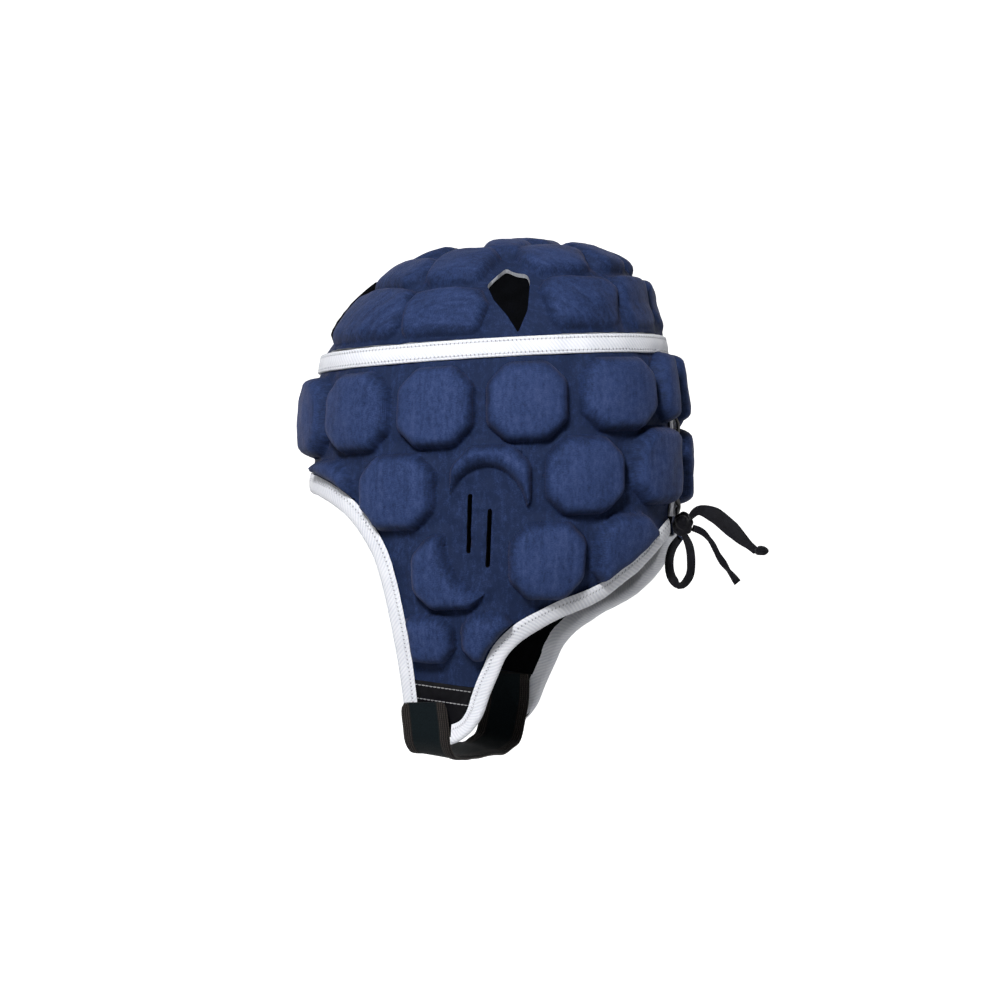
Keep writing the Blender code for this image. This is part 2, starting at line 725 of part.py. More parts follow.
def side_pads(outline):
    """Depth function, centre and reach of every pad of the side panel."""
    ear, ear_half = side_lengths(EAR_PATCH).reshape(2, 2)
    keep_off = BINDING_WIDTH - EDGE_INSET + PAD_GAP / 3

    def pad(centre, half, sign):
        def depth(points):
            points = np.asarray(points, dtype=float)
            inside = octagon_depth(points, centre, half)
            local = points * [sign, 1.0]
            oval = (np.hypot(*np.moveaxis((local - ear) / ear_half, -1, 0)) - 1) * ear_half.min()
            hem = signed_distance(points, outline) - keep_off
            return np.minimum(np.minimum(inside, oval - PAD_GAP / 2), hem)
        return {"depth": depth, "centre": centre, "reach": half}

    pads = []
    for table, signs in ((MIDDLE_PADS, (1,)), (SIDE_PADS, (1, -1))):
        for row in rows(table, PAD_COLUMNS):
            for sign in signs:
                centre = np.array([sign * row["round"] * HALF_ROUND, row["drop"] * PANEL_DROP])
                half = np.array([row["half_round"] * HALF_ROUND, row["half_drop"] * PANEL_DROP])
                pads.append(pad(centre, half - PAD_GAP / 2, sign))
    return pads


def crown_pads(vents):
    """Depth function, centre and reach of every pad of the crown, in metres on the flat disc."""

    def pad(centre, half, turn):
        def depth(points):
            points = np.asarray(points, dtype=float)
            inside = octagon_depth(points, centre, half, turn)
            rim = CROWN_RADIUS * CROWN_PAD_LIMIT - np.linalg.norm(points, axis=-1)
            inside = np.minimum(inside, rim)
            for vent in vents:
                inside = np.minimum(inside, -signed_distance(points, vent) - VENT_MARGIN)
            return inside
        return {"depth": depth, "centre": centre, "reach": np.full(2, half.max())}

    pads = []
    for table, signs in ((CROWN_MIDDLE_PADS, (1,)), (CROWN_SIDE_PADS, (1, -1))):
        for row in rows(table, CROWN_PAD_COLUMNS):
            for sign in signs:
                turn = sign * math.radians(row["azimuth"])
                centre = np.array([math.sin(turn), -math.cos(turn)]) * row["reach"] * CROWN_RADIUS
                half = np.array([row["half_across"], row["half_reach"]]) * CROWN_RADIUS
                pads.append(pad(centre, half - PAD_GAP / 2, turn))
    return pads


def quilting(pads):
    """Closed lines round the pads at a few depths, and the middles of the deep ones."""
    lines = []
    middles = []
    for pad in pads:
        for level, step in zip(PAD_LEVELS, PAD_STEPS):
            line = contour(pad["depth"], pad["centre"], pad["reach"] + CONTOUR_MARGIN, level, step)
            if line is not None:
                lines.append(line)
        if pad["depth"](pad["centre"]) > PAD_LEVELS[-1] + PAD_CROWN_DEPTH:
            middles.append(pad["centre"])
    return lines, middles


def pad_height(pads, rise):
    """Height of the padded face over the head form, anywhere on a panel."""

    def height(points):
        depth = np.max([pad["depth"](points) for pad in pads], axis=0)
        return SHEET + rise * pad_profile(depth, PAD_SHOULDER)

    return height


def grid_points(outline, step, inside):
    """Staggered points over an outline, where inside says so."""
    low = outline.min(axis=0)
    high = outline.max(axis=0)
    lines = []
    for k, y in enumerate(np.arange(low[1] + step / 2, high[1], step * 0.87)):
        xs = np.arange(low[0] + step * (0.25 + 0.5 * (k % 2)), high[0], step)
        lines.append(np.stack([xs, np.full(len(xs), y)], axis=-1))
    points = np.vstack(lines)
    return points[inside(points)]


def slot_outlines():
    """The ear slots of both sides, as closed flat outlines with round ends."""
    outlines = []
    for ends in EAR_SLOTS:
        top, foot = side_lengths(ends)
        way = (foot - top) / np.linalg.norm(foot - top)
        turns = np.radians([-60, 0, 60])
        base = math.atan2(way[1], way[0])
        foot_arc = [foot + SLOT_WIDTH / 2 * np.array([math.cos(base + a), math.sin(base + a)]) for a in turns]
        top_arc = [top - SLOT_WIDTH / 2 * np.array([math.cos(base + a), math.sin(base + a)]) for a in turns]
        outline = np.array(foot_arc + top_arc)
        outlines.append(outline)
        outlines.append(mirrored(outline[::-1]))
    return outlines


def vent_outlines():
    """The three crown vents as closed outlines in metres on the flat disc."""
    front = np.array(FRONT_VENT)
    front = np.vstack([front, mirrored(front[-2:0:-1])]) * CROWN_RADIUS
    side = np.array(SIDE_VENT) * CROWN_RADIUS
    return [front, side, mirrored(side[::-1])]


def in_region(outline, holes, margin=0.0):
    """A test for places inside an outline and outside its holes."""

    def test(points):
        inside = signed_distance(points, outline) > margin
        for hole in holes:
            inside &= signed_distance(points, hole) < -margin
        return inside

    return test


def disc_outline(radius, step):
    """A circle on the flat disc."""
    count = int(round(2 * math.pi * radius / step))
    turn = np.linspace(0, 2 * math.pi, count, endpoint=False)
    return np.stack([np.sin(turn), -np.cos(turn)], axis=-1) * radius


def crown_wrap_lengths(pattern, height):
    """Disc places in metres, in space."""
    return crown_wrap(np.asarray(pattern, dtype=float) / CROWN_RADIUS, height)


def side_panel(collection, material):
    """The padded panel round the brow, ears and neck, as one piece with its ear slots."""
    outline = side_panel_outline(EDGE_INSET, SEAM_OVERLAP, SEAM_STEP)
    slots = slot_outlines()
    pads = side_pads(outline)
    lines, middles = quilting(pads)
    guide = side_panel_outline(BINDING_WIDTH + CLEAR, BAND_DROP + BAND_WIDTH, SEAM_STEP)
    inner = grid_points(guide, INNER_STEP, in_region(guide, slots, MESH_MARGIN))
    inner = np.vstack([inner, guide[in_region(outline, slots, MESH_MARGIN)(guide)]])
    return padded_sheet(
        collection, "side_panel", side_wrap, in_region(outline, slots), [outline] + slots + lines,
        middles, inner, pad_height(pads, PAD_RISE), 0.0, material,
    )


def crown_panel(collection, material):
    """The padded crown with its three vents."""
    outline = disc_outline(CROWN_RADIUS - SEAM_OVERLAP, SEAM_STEP)
    vents = vent_outlines()
    pads = crown_pads(vents)
    lines, middles = quilting(pads)
    inner = grid_points(outline, INNER_STEP, in_region(outline, vents, MESH_MARGIN))
    return padded_sheet(
        collection, "crown_panel", crown_wrap_lengths, in_region(outline, vents), [outline] + vents + lines,
        middles, inner, pad_height(pads, CROWN_PAD_RISE), 0.0, material,
    )


def linings(collection, material):
    """Thin stretch linings behind the side panel and, whole, under the crown and its vents."""
    low = -LINING_GAP - LINING
    outline = side_panel_outline(BINDING_WIDTH + 4 * CLEAR, SEAM_OVERLAP, SEAM_STEP)
    plain_sheet(
        collection, "side_lining", side_wrap, outline, slot_outlines(), low, -LINING_GAP, INNER_STEP, material,
    )
    disc = disc_outline(CROWN_RADIUS - SEAM_OVERLAP, SEAM_STEP)
    plain_sheet(
        collection, "crown_lining", crown_wrap_lengths, disc, [], low, -LINING_GAP, INNER_STEP, material,
    )


def crown_band(collection, material):
    """White tape over the seam between crown and side panel."""
    turn = np.linspace(-HALF_ROUND, HALF_ROUND, BAND_SPANS + 1)[:-1]
    line = np.stack([turn, np.full(len(turn), BAND_DROP)], axis=-1)
    low = SHEET + CLEAR
    high = low + BINDING_CLOTH
    lip = BINDING_CLOTH * 0.8
    section = (
        (0.0, low), (0.0, high - lip / 2), (lip, high),
        (BAND_WIDTH - lip, high), (BAND_WIDTH, high - lip / 2), (BAND_WIDTH, low),
    )
    return swept_strip(collection, "crown_band", side_wrap, line, section, material, closed=True)


def bindings(collection, material):
    """White tapes folded over the face edge, the neck edges and the laced gap's edges."""
    section = binding_section(BINDING_WIDTH)
    swept_strip(collection, "front_binding", side_wrap, front_hem_line(SEAM_STEP), section, material)
    rear = swept_strip(collection, "rear_binding_left", side_wrap, rear_hem_line(SEAM_STEP), section, material)
    section = binding_section(GAP_BINDING_WIDTH)
    gap = swept_strip(collection, "gap_binding_left", side_wrap, gap_line(GAP_STEP), section, material)
    mirrored_object(collection, rear, "rear_binding_right")
    mirrored_object(collection, gap, "gap_binding_right")


def chin_tabs(collection, material):
    """Black webbing tabs below the panel's foot seams, on the left and right."""
    outline = tab_outline(EDGE_INSET, SEAM_STEP)
    left = plain_sheet(
        collection, "chin_tab_left", side_wrap, outline, [], 0.0, TAB_SHEET, SEAM_STEP, material,
    )
    mirrored_object(collection, left, "chin_tab_right")


def strap_frames(step):
    """Middle line of the chin strap with its width and outward ways, near end to far end."""
    near_height = SHEET + 4 * CLEAR + BINDING_CLOTH + STRAP_THICK / 2
    far_height = -(FOLD_GAP + BINDING_CLOTH + STRAP_THICK / 2 + STRAP_FAR_SAG)
    near_drop = np.linspace(*STRAP_NEAR_DROP, 4) * PANEL_DROP
    near = side_wrap(np.stack([np.full(4, STRAP_NEAR_ROUND * HALF_ROUND), near_drop], axis=-1), near_height)
    far_drop = np.linspace(*STRAP_FAR_DROP, 4)[::-1] * PANEL_DROP
    far = side_wrap(np.stack([np.full(4, -STRAP_FAR_ROUND * HALF_ROUND), far_drop], axis=-1), far_height)
    lowest = -CROWN_RISE - STRAP_UNDER * PANEL_DROP
    under = []
    for row in rows(STRAP_UNDER_LINE, STRAP_UNDER_COLUMNS):
        share = (1 - row["across"]) / 2
        end = near[-1] if row["across"] > 0 else far[0]
        y = near[-1][1] * (1 - share) + far[0][1] * share
        z = end[2] * (1 - row["sink"]) + lowest * row["sink"]
        under.append([abs(row["across"]) * end[0], y, z])
    route = np.vstack([near, under, far])
    line = smooth_line(route, step)
    way = np.gradient(line, axis=0)
    way /= np.linalg.norm(way, axis=1, keepdims=True)
    share = np.abs(np.linspace(-1, 1, len(line)))[:, None]
    lean = np.array([0.0, math.cos(STRAP_LEAN), -math.sin(STRAP_LEAN)])
    wide = lean * (1 - share**2) + np.array([0.0, 1.0, 0.0]) * share**2
    end_wide = side_tangent(STRAP_NEAR_ROUND, STRAP_NEAR_DROP[0])
    wide[line[:, 0] > 0] += (end_wide * [1, 0, 0]) * (share[line[:, 0] > 0] ** 2)
    wide[line[:, 0] < 0] += (end_wide * [-1, 0, 0]) * (share[line[:, 0] < 0] ** 2)
    wide -= way * np.sum(wide * way, axis=1, keepdims=True)
    wide /= np.linalg.norm(wide, axis=1, keepdims=True)
    return line, wide, np.cross(way, wide)


def side_tangent(round_share, drop_share):
    """Unit way round the head at a place of the side pattern."""
    place = side_lengths([[round_share, drop_share]])
    ahead = side_wrap(place + [[0.001, 0.0]], 0.0) - side_wrap(place - [[0.001, 0.0]], 0.0)
    return (ahead / np.linalg.norm(ahead))[0]


def chin_strap(collection, material):
    """One strap from the left tab's outside, under the chin, to the right tab's inside."""
    line, wide, out = strap_frames(STRAP_STEP)
    half = np.full(len(line), STRAP_WIDTH / 2)
    half[[0, -1]] *= STRAP_END_WIDTHS
    rings = [
        line + wide * (half * across)[:, None] + out * (up * STRAP_THICK) for across, up in STRAP_SECTION
    ]
    places = np.stack(rings, axis=1).reshape(-1, 3)
    count = len(rings)
    faces = []
    for k in range(len(line) - 1):
        for m in range(count):
            n = (m + 1) % count
            faces.append((k * count + m, k * count + n, (k + 1) * count + n, (k + 1) * count + m))
    faces.append(tuple(range(count)))
    faces.append(tuple(reversed(range(len(places) - count, len(places)))))
    return make_object(collection, "chin_strap", places, faces, material)


def lacing(collection, material):
    """Flat lace that zigzags over the two gap bindings."""
    turn_in = GAP_BINDING_WIDTH * LACE_REACH
    high = SHEET + 4 * CLEAR + BINDING_CLOTH
    places = []
    for side, drop in LACE_CROSSINGS:
        places.append([side * (GAP_FOOT / 2 + turn_in) + HALF_ROUND, drop * PANEL_DROP])
    line = even_line(np.array(places), LACE_STEP)
    section = (
        (-LACE_WIDTH / 2, high), (-LACE_WIDTH / 2, high + LACE_THICK),
        (LACE_WIDTH / 2, high + LACE_THICK), (LACE_WIDTH / 2, high),
    )
    return swept_strip(collection, "lacing", side_wrap, line, section, material)


def lace_knot(collection, material):
    """The bow's knot at the foot of the gap."""
    mesh = bpy.data.meshes.new("lace_knot")
    built = bmesh.new()
    bmesh.ops.create_icosphere(built, subdivisions=2, radius=0.5)
    for vert in built.verts:
        vert.co = Vector([c * s for c, s in zip(vert.co, KNOT_SIZE)]) + Vector(KNOT_PLACE)
    built.to_mesh(mesh)
    built.free()
    mesh.shade_smooth()
    mesh.materials.append(material)
    made = bpy.data.objects.new("lace_knot", mesh)
    collection.objects.link(made)
    return made


def lace(collection, name, route, material):
    """A free length of lace as a plain tube through its route."""
    curve = bpy.data.curves.new(name, "CURVE")
    curve.dimensions = "3D"
    curve.bevel_depth = LACE_WIDTH / 2
    curve.bevel_resolution = 1
    curve.use_fill_caps = True
    line = smooth_line(np.array(route), LACE_WIDTH)
    spline = curve.splines.new("POLY")
    spline.points.add(len(line) - 1)
    for point, place in zip(spline.points, line):
        point.co = (*place, 1.0)
    curve.materials.append(material)
    made = bpy.data.objects.new(name, curve)
    collection.objects.link(made)
    return made


def main():
    for old in list(bpy.data.objects):
        bpy.data.objects.remove(old, do_unlink=True)
    collection = bpy.data.collections.new("rugby_scrum_cap")
    bpy.context.scene.collection.children.link(collection)
    made = {name: make_material(name, *finish) for name, finish in MATERIALS.items()}
    side_panel(collection, made["navy_jersey"])
    crown_panel(collection, made["navy_jersey"])
    linings(collection, made["black_lining"])
    crown_band(collection, made["white_twill"])
    bindings(collection, made["white_twill"])
    chin_tabs(collection, made["black_webbing"])
    chin_strap(collection, made["black_webbing"])
    lacing(collection, made["black_lace"])
    lace_knot(collection, made["black_lace"])
    for name, route in LACE_ROUTES.items():
        lace(collection, name, route, made["black_lace"])


main()
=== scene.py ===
"""Looks of the rugby scrum cap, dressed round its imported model.

Panels are drawn flat and wrapped on the head form, as in the part: length round and drop on the
side pattern, and a disc for the crown. Each piece carries its flat pattern as a UV map in metres,
so that weave, stitches and creases follow the cloth.
"""
import math

import bmesh
import bpy
import numpy as np
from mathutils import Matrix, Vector
from mathutils.geometry import delaunay_2d_cdt


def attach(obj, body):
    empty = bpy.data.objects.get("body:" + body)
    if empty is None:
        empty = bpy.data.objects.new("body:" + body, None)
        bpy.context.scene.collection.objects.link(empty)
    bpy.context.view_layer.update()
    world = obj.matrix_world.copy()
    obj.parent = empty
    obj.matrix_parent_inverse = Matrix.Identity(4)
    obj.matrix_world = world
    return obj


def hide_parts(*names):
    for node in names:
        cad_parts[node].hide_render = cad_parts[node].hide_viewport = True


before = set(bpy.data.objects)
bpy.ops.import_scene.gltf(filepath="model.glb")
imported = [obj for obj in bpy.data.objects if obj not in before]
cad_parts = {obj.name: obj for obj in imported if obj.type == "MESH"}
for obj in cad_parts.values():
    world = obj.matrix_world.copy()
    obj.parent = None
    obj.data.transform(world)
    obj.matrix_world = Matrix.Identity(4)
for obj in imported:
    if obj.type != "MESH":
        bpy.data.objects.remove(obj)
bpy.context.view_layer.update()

# Driving dimensions, in metres
HEAD_LENGTH = 0.190
HEAD_BREADTH = 0.152
CROWN_RISE = 0.050
PANEL_DROP = 0.210
CROWN_BACK = 0.013
SHEET = 0.0030
PAD_RISE = 0.0085
CROWN_PAD_RISE = 0.0065
PAD_GAP = 0.0036
PAD_CORNER_SHARE = 0.25
LINING = 0.0008
LINING_GAP = 0.0009
FOLD_GAP = 0.0008
BINDING_WIDTH = 0.0105
BINDING_CLOTH = 0.0010
GAP_TOP = 0.003
GAP_FOOT = 0.009
BAND_WIDTH = 0.0098
SLOT_WIDTH = 0.0024
TAB_SHEET = 0.0024
STRAP_WIDTH = 0.026
STRAP_THICK = 0.0022
STRAP_FAR_SAG = 0.0028
LACE_WIDTH = 0.0044
LACE_THICK = 0.0010
EDGE_INSET = 0.0016
VENT_MARGIN = 0.0035
CROWN_PAD_LIMIT = 0.968
KNOT_SIZE = (0.010, 0.010, 0.012)
KNOT_PLACE = (0.0, 0.1040, -0.1440)
CLEAR = 0.0003

# Steps that find a surface's normal: a length on the side pattern and a share of the crown's radius
SIDE_PROBE = 0.0005
CROWN_PROBE = 0.004

# Shape of a pad: softness of its corners and roundness of its rim
PAD_CORNER_SOFT = 0.22
PAD_ROUNDNESS = 2.4

# Slope of the crown seam, rising to the back, and how far the crown band laps over it
BAND_SLOPE = 0.055
BAND_DROP = -0.0010
SEAM_OVERLAP = 0.0010

# Head form below the seam, as drop, front, back, half breadth and roundness of each section:
# the drop is a share of the panel's drop, the lengths are shares of the half length and half breadth
SECTIONS = (
    (-0.10, 0.90, 0.91, 0.915, 2.15),
    (0.00, 0.94, 0.945, 0.955, 2.15),
    (0.13, 0.985, 0.985, 0.99, 2.15),
    (0.27, 1.00, 1.00, 1.00, 2.15),
    (0.415, 1.00, 1.00, 0.99, 2.15),
    (0.52, 0.97, 0.96, 0.965, 2.15),
    (0.61, 0.94, 0.84, 0.935, 2.15),
    (0.68, 0.91, 0.65, 0.90, 2.2),
    (0.74, 0.88, 0.50, 0.86, 2.3),
    (0.83, 0.83, 0.46, 0.80, 2.4),
    (1.00, 0.76, 0.45, 0.72, 2.6),
)

# Crown form, as rise above the seam and reach to the front, the back and the sides: shares of 1
CROWN_FORM = (
    (0.00, 1.00, 1.00, 1.00),
    (0.10, 0.955, 0.97, 0.98),
    (0.28, 0.875, 0.925, 0.93),
    (0.50, 0.77, 0.865, 0.83),
    (0.68, 0.655, 0.79, 0.71),
    (0.80, 0.55, 0.70, 0.60),
    (0.90, 0.41, 0.55, 0.45),
    (0.97, 0.235, 0.335, 0.26),
    (1.00, 0.00, 0.00, 0.00),
)

# Side pads, as shares of the half round and of the panel's drop; the left ones are mirrored
PAD_COLUMNS = ("round", "drop", "half_round", "half_drop")
MIDDLE_PADS = (
    (0.000, 0.155, 0.080, 0.110),
)
SIDE_PADS = (
    (0.152, 0.157, 0.072, 0.110),
    (0.298, 0.157, 0.083, 0.110),
    (0.465, 0.157, 0.083, 0.110),
    (0.637, 0.155, 0.083, 0.108),
    (0.816, 0.142, 0.088, 0.104),
    (0.936, 0.127, 0.033, 0.096),
    (0.212, 0.362, 0.083, 0.104),
    (0.388, 0.358, 0.085, 0.104),
    (0.569, 0.352, 0.083, 0.106),
    (0.742, 0.340, 0.083, 0.106),
    (0.899, 0.322, 0.072, 0.106),
    (0.489, 0.560, 0.085, 0.102),
    (0.6765, 0.542, 0.081, 0.102),
    (0.836, 0.525, 0.078, 0.098),
    (0.430, 0.722, 0.070, 0.070),
    (0.561, 0.722, 0.063, 0.070),
)

# Crown pads on the flat disc: azimuth from the forehead, reach and half sizes as shares of its radius
CROWN_PAD_COLUMNS = ("azimuth", "reach", "half_across", "half_reach")
CROWN_MIDDLE_PADS = (
    (0.0, 0.365, 0.165, 0.135),
    (180.0, 0.03, 0.175, 0.175),
)
CROWN_SIDE_PADS = (
    (45.0, 0.815, 0.315, 0.165),
    (83.0, 0.830, 0.285, 0.155),
    (140.5, 0.795, 0.225, 0.185),
    (167.5, 0.785, 0.160, 0.190),
    (40.0, 0.540, 0.225, 0.120),
    (80.0, 0.500, 0.190, 0.165),
    (103.0, 0.300, 0.140, 0.130),
    (134.0, 0.455, 0.165, 0.155),
    (166.0, 0.400, 0.110, 0.170),
)

# Openings in the crown, as (across, back) points on the flat disc, from its middle
FRONT_VENT = (
    (0.000, -0.51), (0.130, -0.57), (0.225, -0.72), (0.215, -0.86), (0.130, -0.955), (0.000, -0.965),
)
SIDE_VENT = (
    (0.490, 0.155), (0.515, 0.235), (0.500, 0.285), (0.560, 0.330),
    (0.735, 0.400), (0.885, 0.405), (0.820, 0.310), (0.745, 0.185), (0.650, 0.105),
)

# Hems and foot seams, as (round, drop) shares along the bindings' outer edges
FRONT_HEM = (
    (0.000, 0.343), (0.090, 0.347), (0.161, 0.357), (0.220, 0.381), (0.264, 0.414), (0.298, 0.462),
    (0.322, 0.517), (0.336, 0.586), (0.344, 0.662), (0.347, 0.738), (0.346, 0.833), (0.345, 0.955),
)
REAR_HEM = (
    (0.981, 0.500), (0.961, 0.512), (0.941, 0.528), (0.920, 0.550), (0.887, 0.584), (0.863, 0.604),
    (0.821, 0.642), (0.795, 0.657), (0.760, 0.672), (0.724, 0.686), (0.690, 0.704), (0.630, 0.743),
    (0.601, 0.778), (0.583, 0.823), (0.559, 0.885), (0.542, 0.936), (0.522, 0.966),
    (0.500, 0.982), (0.482, 0.988),
)
PANEL_FOOT = ((0.320, 0.812), (0.580, 0.862))
TAB_FOOT = ((0.466, 0.978), (0.345, 0.955))

# Ear patch, an oval left flat round two slots, as the side pads are given, and the slots' ends
EAR_PATCH = (
    (0.560, 0.462, 0.074, 0.141),
)
EAR_SLOTS = (
    ((0.5297, 0.377), (0.5253, 0.513)),
    ((0.5674, 0.416), (0.5626, 0.550)),
)

# Chin strap: its ends on the two tabs, its lowest drop and its line under the chin, all as shares
STRAP_NEAR_ROUND = 0.4045
STRAP_NEAR_DROP = (0.878, 0.940)
STRAP_FAR_ROUND = 0.465
STRAP_FAR_DROP = (0.850, 0.905)
STRAP_UNDER = 1.0262
STRAP_LEAN = math.radians(12)
STRAP_UNDER_COLUMNS = ("across", "sink")
STRAP_UNDER_LINE = (
    (0.97, 0.45), (0.86, 0.85), (0.60, 1.0), (0.0, 1.0), (-0.54, 1.0), (-0.78, 0.85), (-0.91, 0.45),
)

# Lacing: crossings as round side (+1 left, -1 right) and drop, and the bow's routes in metres
LACE_REACH = 0.62
LACE_CROSSINGS = (
    (-1, 0.062), (1, 0.115), (-1, 0.170), (1, 0.225), (-1, 0.280), (1, 0.335),
    (-1, 0.390), (1, 0.425), (0, 0.438),
)
LACE_ROUTES = {
    "lace_loop": (
        (0.0019, 0.1053, -0.1498), (0.0036, 0.1078, -0.1545), (0.0045, 0.1092, -0.1628),
        (0.0040, 0.1078, -0.1720), (0.0033, 0.1035, -0.1762), (0.0022, 0.0990, -0.1730),
        (0.0008, 0.0968, -0.1645), (-0.0012, 0.0984, -0.1560), (-0.0027, 0.1016, -0.1508),
    ),
    "lace_tail_long": (
        (0.0019, 0.1082, -0.1407), (0.0036, 0.1130, -0.1368), (0.0055, 0.1208, -0.1384),
        (0.0065, 0.1296, -0.1448), (0.0075, 0.1378, -0.1522), (0.0080, 0.1450, -0.1580),
    ),
    "lace_tail_short": (
        (-0.0024, 0.1085, -0.1457), (-0.0035, 0.1130, -0.1478), (-0.0045, 0.1178, -0.1530),
        (-0.0050, 0.1220, -0.1600), (-0.0055, 0.1268, -0.1680), (-0.0060, 0.1324, -0.1750),
    ),
}


def rows(table, columns):
    """The rows of a short table, each value under its column's name."""
    return [dict(zip(columns, row)) for row in table]


def way_along(line):
    """Length from a line's start to each of its points."""
    return np.concatenate([[0.0], np.cumsum(np.linalg.norm(np.diff(line, axis=0), axis=1))])


def units(vectors):
    """The vectors at a length of one."""
    return vectors / np.linalg.norm(vectors, axis=-1, keepdims=True)


def eased(t, run, start, end, leave, arrive):
    """A smooth curve from start to end with its slopes there, at a share t of the run."""
    return (
        (2 * t**3 - 3 * t**2 + 1) * start
        + (t**3 - 2 * t**2 + t) * leave * run
        + (3 * t**2 - 2 * t**3) * end
        + (t**3 - t**2) * arrive * run
    )


def curve_values(table, where):
    """A table's other columns at values of its first: smooth between rows, straight on past them."""
    xs, *columns = np.array(table, dtype=float).T
    where = np.asarray(where, dtype=float)
    i = np.clip(np.searchsorted(xs, where, side="right") - 1, 0, len(xs) - 2)
    step = xs[i + 1] - xs[i]
    t = np.clip((where - xs[i]) / step, 0.0, 1.0)
    values = []
    for ys in columns:
        slopes = np.gradient(ys, xs)
        slopes[0] = (ys[1] - ys[0]) / (xs[1] - xs[0])
        slopes[-1] = (ys[-1] - ys[-2]) / (xs[-1] - xs[-2])
        smooth = eased(t, step, ys[i], ys[i + 1], slopes[i], slopes[i + 1])
        below = np.minimum(where - xs[0], 0.0) * slopes[0]
        above = np.maximum(where - xs[-1], 0.0) * slopes[-1]
        values.append(smooth + below + above)
    return values


def ring_point(azimuth, z):
    """A point on the head form at an azimuth from the forehead and a height."""
    front, back, half, power = curve_values(SECTIONS, (-CROWN_RISE - z) / PANEL_DROP)
    along = np.cos(azimuth)
    across = np.sin(azimuth)
    run = np.where(along > 0, front, back) * HEAD_LENGTH / 2
    half = half * HEAD_BREADTH / 2
    reach = (np.abs(across / half) ** power + np.abs(along / run) ** power) ** (-1 / power)
    return np.stack([reach * across, -reach * along, z + 0 * reach], axis=-1)


def round_table():
    """Length round the widest section against the azimuth, over half the head."""
    azimuth = np.linspace(0, math.pi, 361)
    widest = -CROWN_RISE - SECTIONS[3][0] * PANEL_DROP
    points = ring_point(azimuth, np.full_like(azimuth, widest))
    return azimuth, way_along(points)


ROUND_AZIMUTH, ROUND_LENGTH = round_table()
HALF_ROUND = float(ROUND_LENGTH[-1])


def azimuth_of(length):
    """Azimuth at a length round the head; past the back's middle it carries on round."""
    size = np.abs(length)
    past = np.maximum(size - HALF_ROUND, 0.0)
    inside = np.interp(size - 2 * past, ROUND_LENGTH, ROUND_AZIMUTH)
    turned = np.where(past > 0, 2 * math.pi - inside, inside)
    return np.sign(length) * turned


def seam_height(azimuth):
    """Height of the crown seam, which climbs to the back."""
    level = ring_point(azimuth, np.full_like(np.asarray(azimuth, dtype=float), -CROWN_RISE))
    return -CROWN_RISE + BAND_SLOPE * level[..., 1]


def side_surface(length, drop):
    """The head form at a place of the side pattern."""
    azimuth = azimuth_of(np.asarray(length, dtype=float))
    return ring_point(azimuth, seam_height(azimuth) - drop)


def wrapped(surface, first, second, height, step, middle):
    """Places of a flat pattern laid on a surface and raised from it along its normal."""
    along = surface(first + step, second) - surface(first - step, second)
    across = surface(first, second + step) - surface(first, second - step)
    normal = np.cross(along, across)
    normal = units(normal)
    points = surface(first, second)
    outward = np.sum(normal * (points - middle(points)), axis=-1, keepdims=True)
    return points + np.sign(outward) * normal * np.asarray(height)[..., None]


def side_wrap(pattern, height):
    """Side pattern places (length round, drop) in space, at a height over the head form."""
    pattern = np.asarray(pattern, dtype=float)
    length = pattern[..., 0]
    drop = pattern[..., 1]
    height = np.broadcast_to(np.asarray(height, dtype=float), length.shape)
    return wrapped(side_surface, length, drop, height, SIDE_PROBE, lambda p: p * [0.0, 0.0, 1.0])


def crown_surface_at(azimuth, rise):
    """The crown form at an azimuth and a rise above the seam."""
    seam = seam_height(azimuth)
    rim = ring_point(azimuth, seam)
    front, back, half = curve_values(CROWN_FORM, rise)
    along = np.cos(azimuth)
    reach = np.where(along > 0, front, back) * along**2 + half * (1 - along**2)
    x = rim[..., 0] * reach
    y = CROWN_BACK * (1 - reach) + rim[..., 1] * reach
    return np.stack([x, y, seam * (1 - rise)], axis=-1)


def crown_profile():
    """Rise above the seam against the way from the top's middle, at the side."""
    rise = np.linspace(1, 0, 201)
    points = crown_surface_at(np.full_like(rise, math.pi / 2), rise)
    way = way_along(points)
    return way / way[-1], rise, float(way[-1])


PROFILE_WAY, PROFILE_RISE, CROWN_RADIUS = crown_profile()


def crown_surface(across, back):
    """The crown form at a place of the flat disc."""
    way = np.hypot(across, back)
    azimuth = np.arctan2(across, -back)
    inside = np.interp(way, PROFILE_WAY, PROFILE_RISE)
    past = np.maximum(way - 1.0, 0.0) * CROWN_RADIUS
    points = crown_surface_at(azimuth, inside)
    points[..., 2] -= past
    return points


def crown_wrap(pattern, height):
    """Disc places in metres, in space, at a height over the crown form."""
    pattern = np.asarray(pattern, dtype=float) / CROWN_RADIUS
    height = np.broadcast_to(np.asarray(height, dtype=float), pattern.shape[:-1])
    middle = np.array([0.0, CROWN_BACK, -2 * CROWN_RISE])
    return wrapped(crown_surface, pattern[..., 0], pattern[..., 1], height, CROWN_PROBE, lambda p: middle)


def smooth_line(points, step):
    """A smooth open line through a few points, at about an even step."""
    points = np.asarray(points, dtype=float)
    way = way_along(points)
    slopes = np.gradient(points, way, axis=0)
    dense = np.linspace(0, way[-1], 40 * len(points))
    i = np.clip(np.searchsorted(way, dense, side="right") - 1, 0, len(way) - 2)
    run = (way[i + 1] - way[i])[:, None]
    t = (dense[:, None] - way[i][:, None]) / run
    line = eased(t, run, points[i], points[i + 1], slopes[i], slopes[i + 1])
    return even_line(line, step)


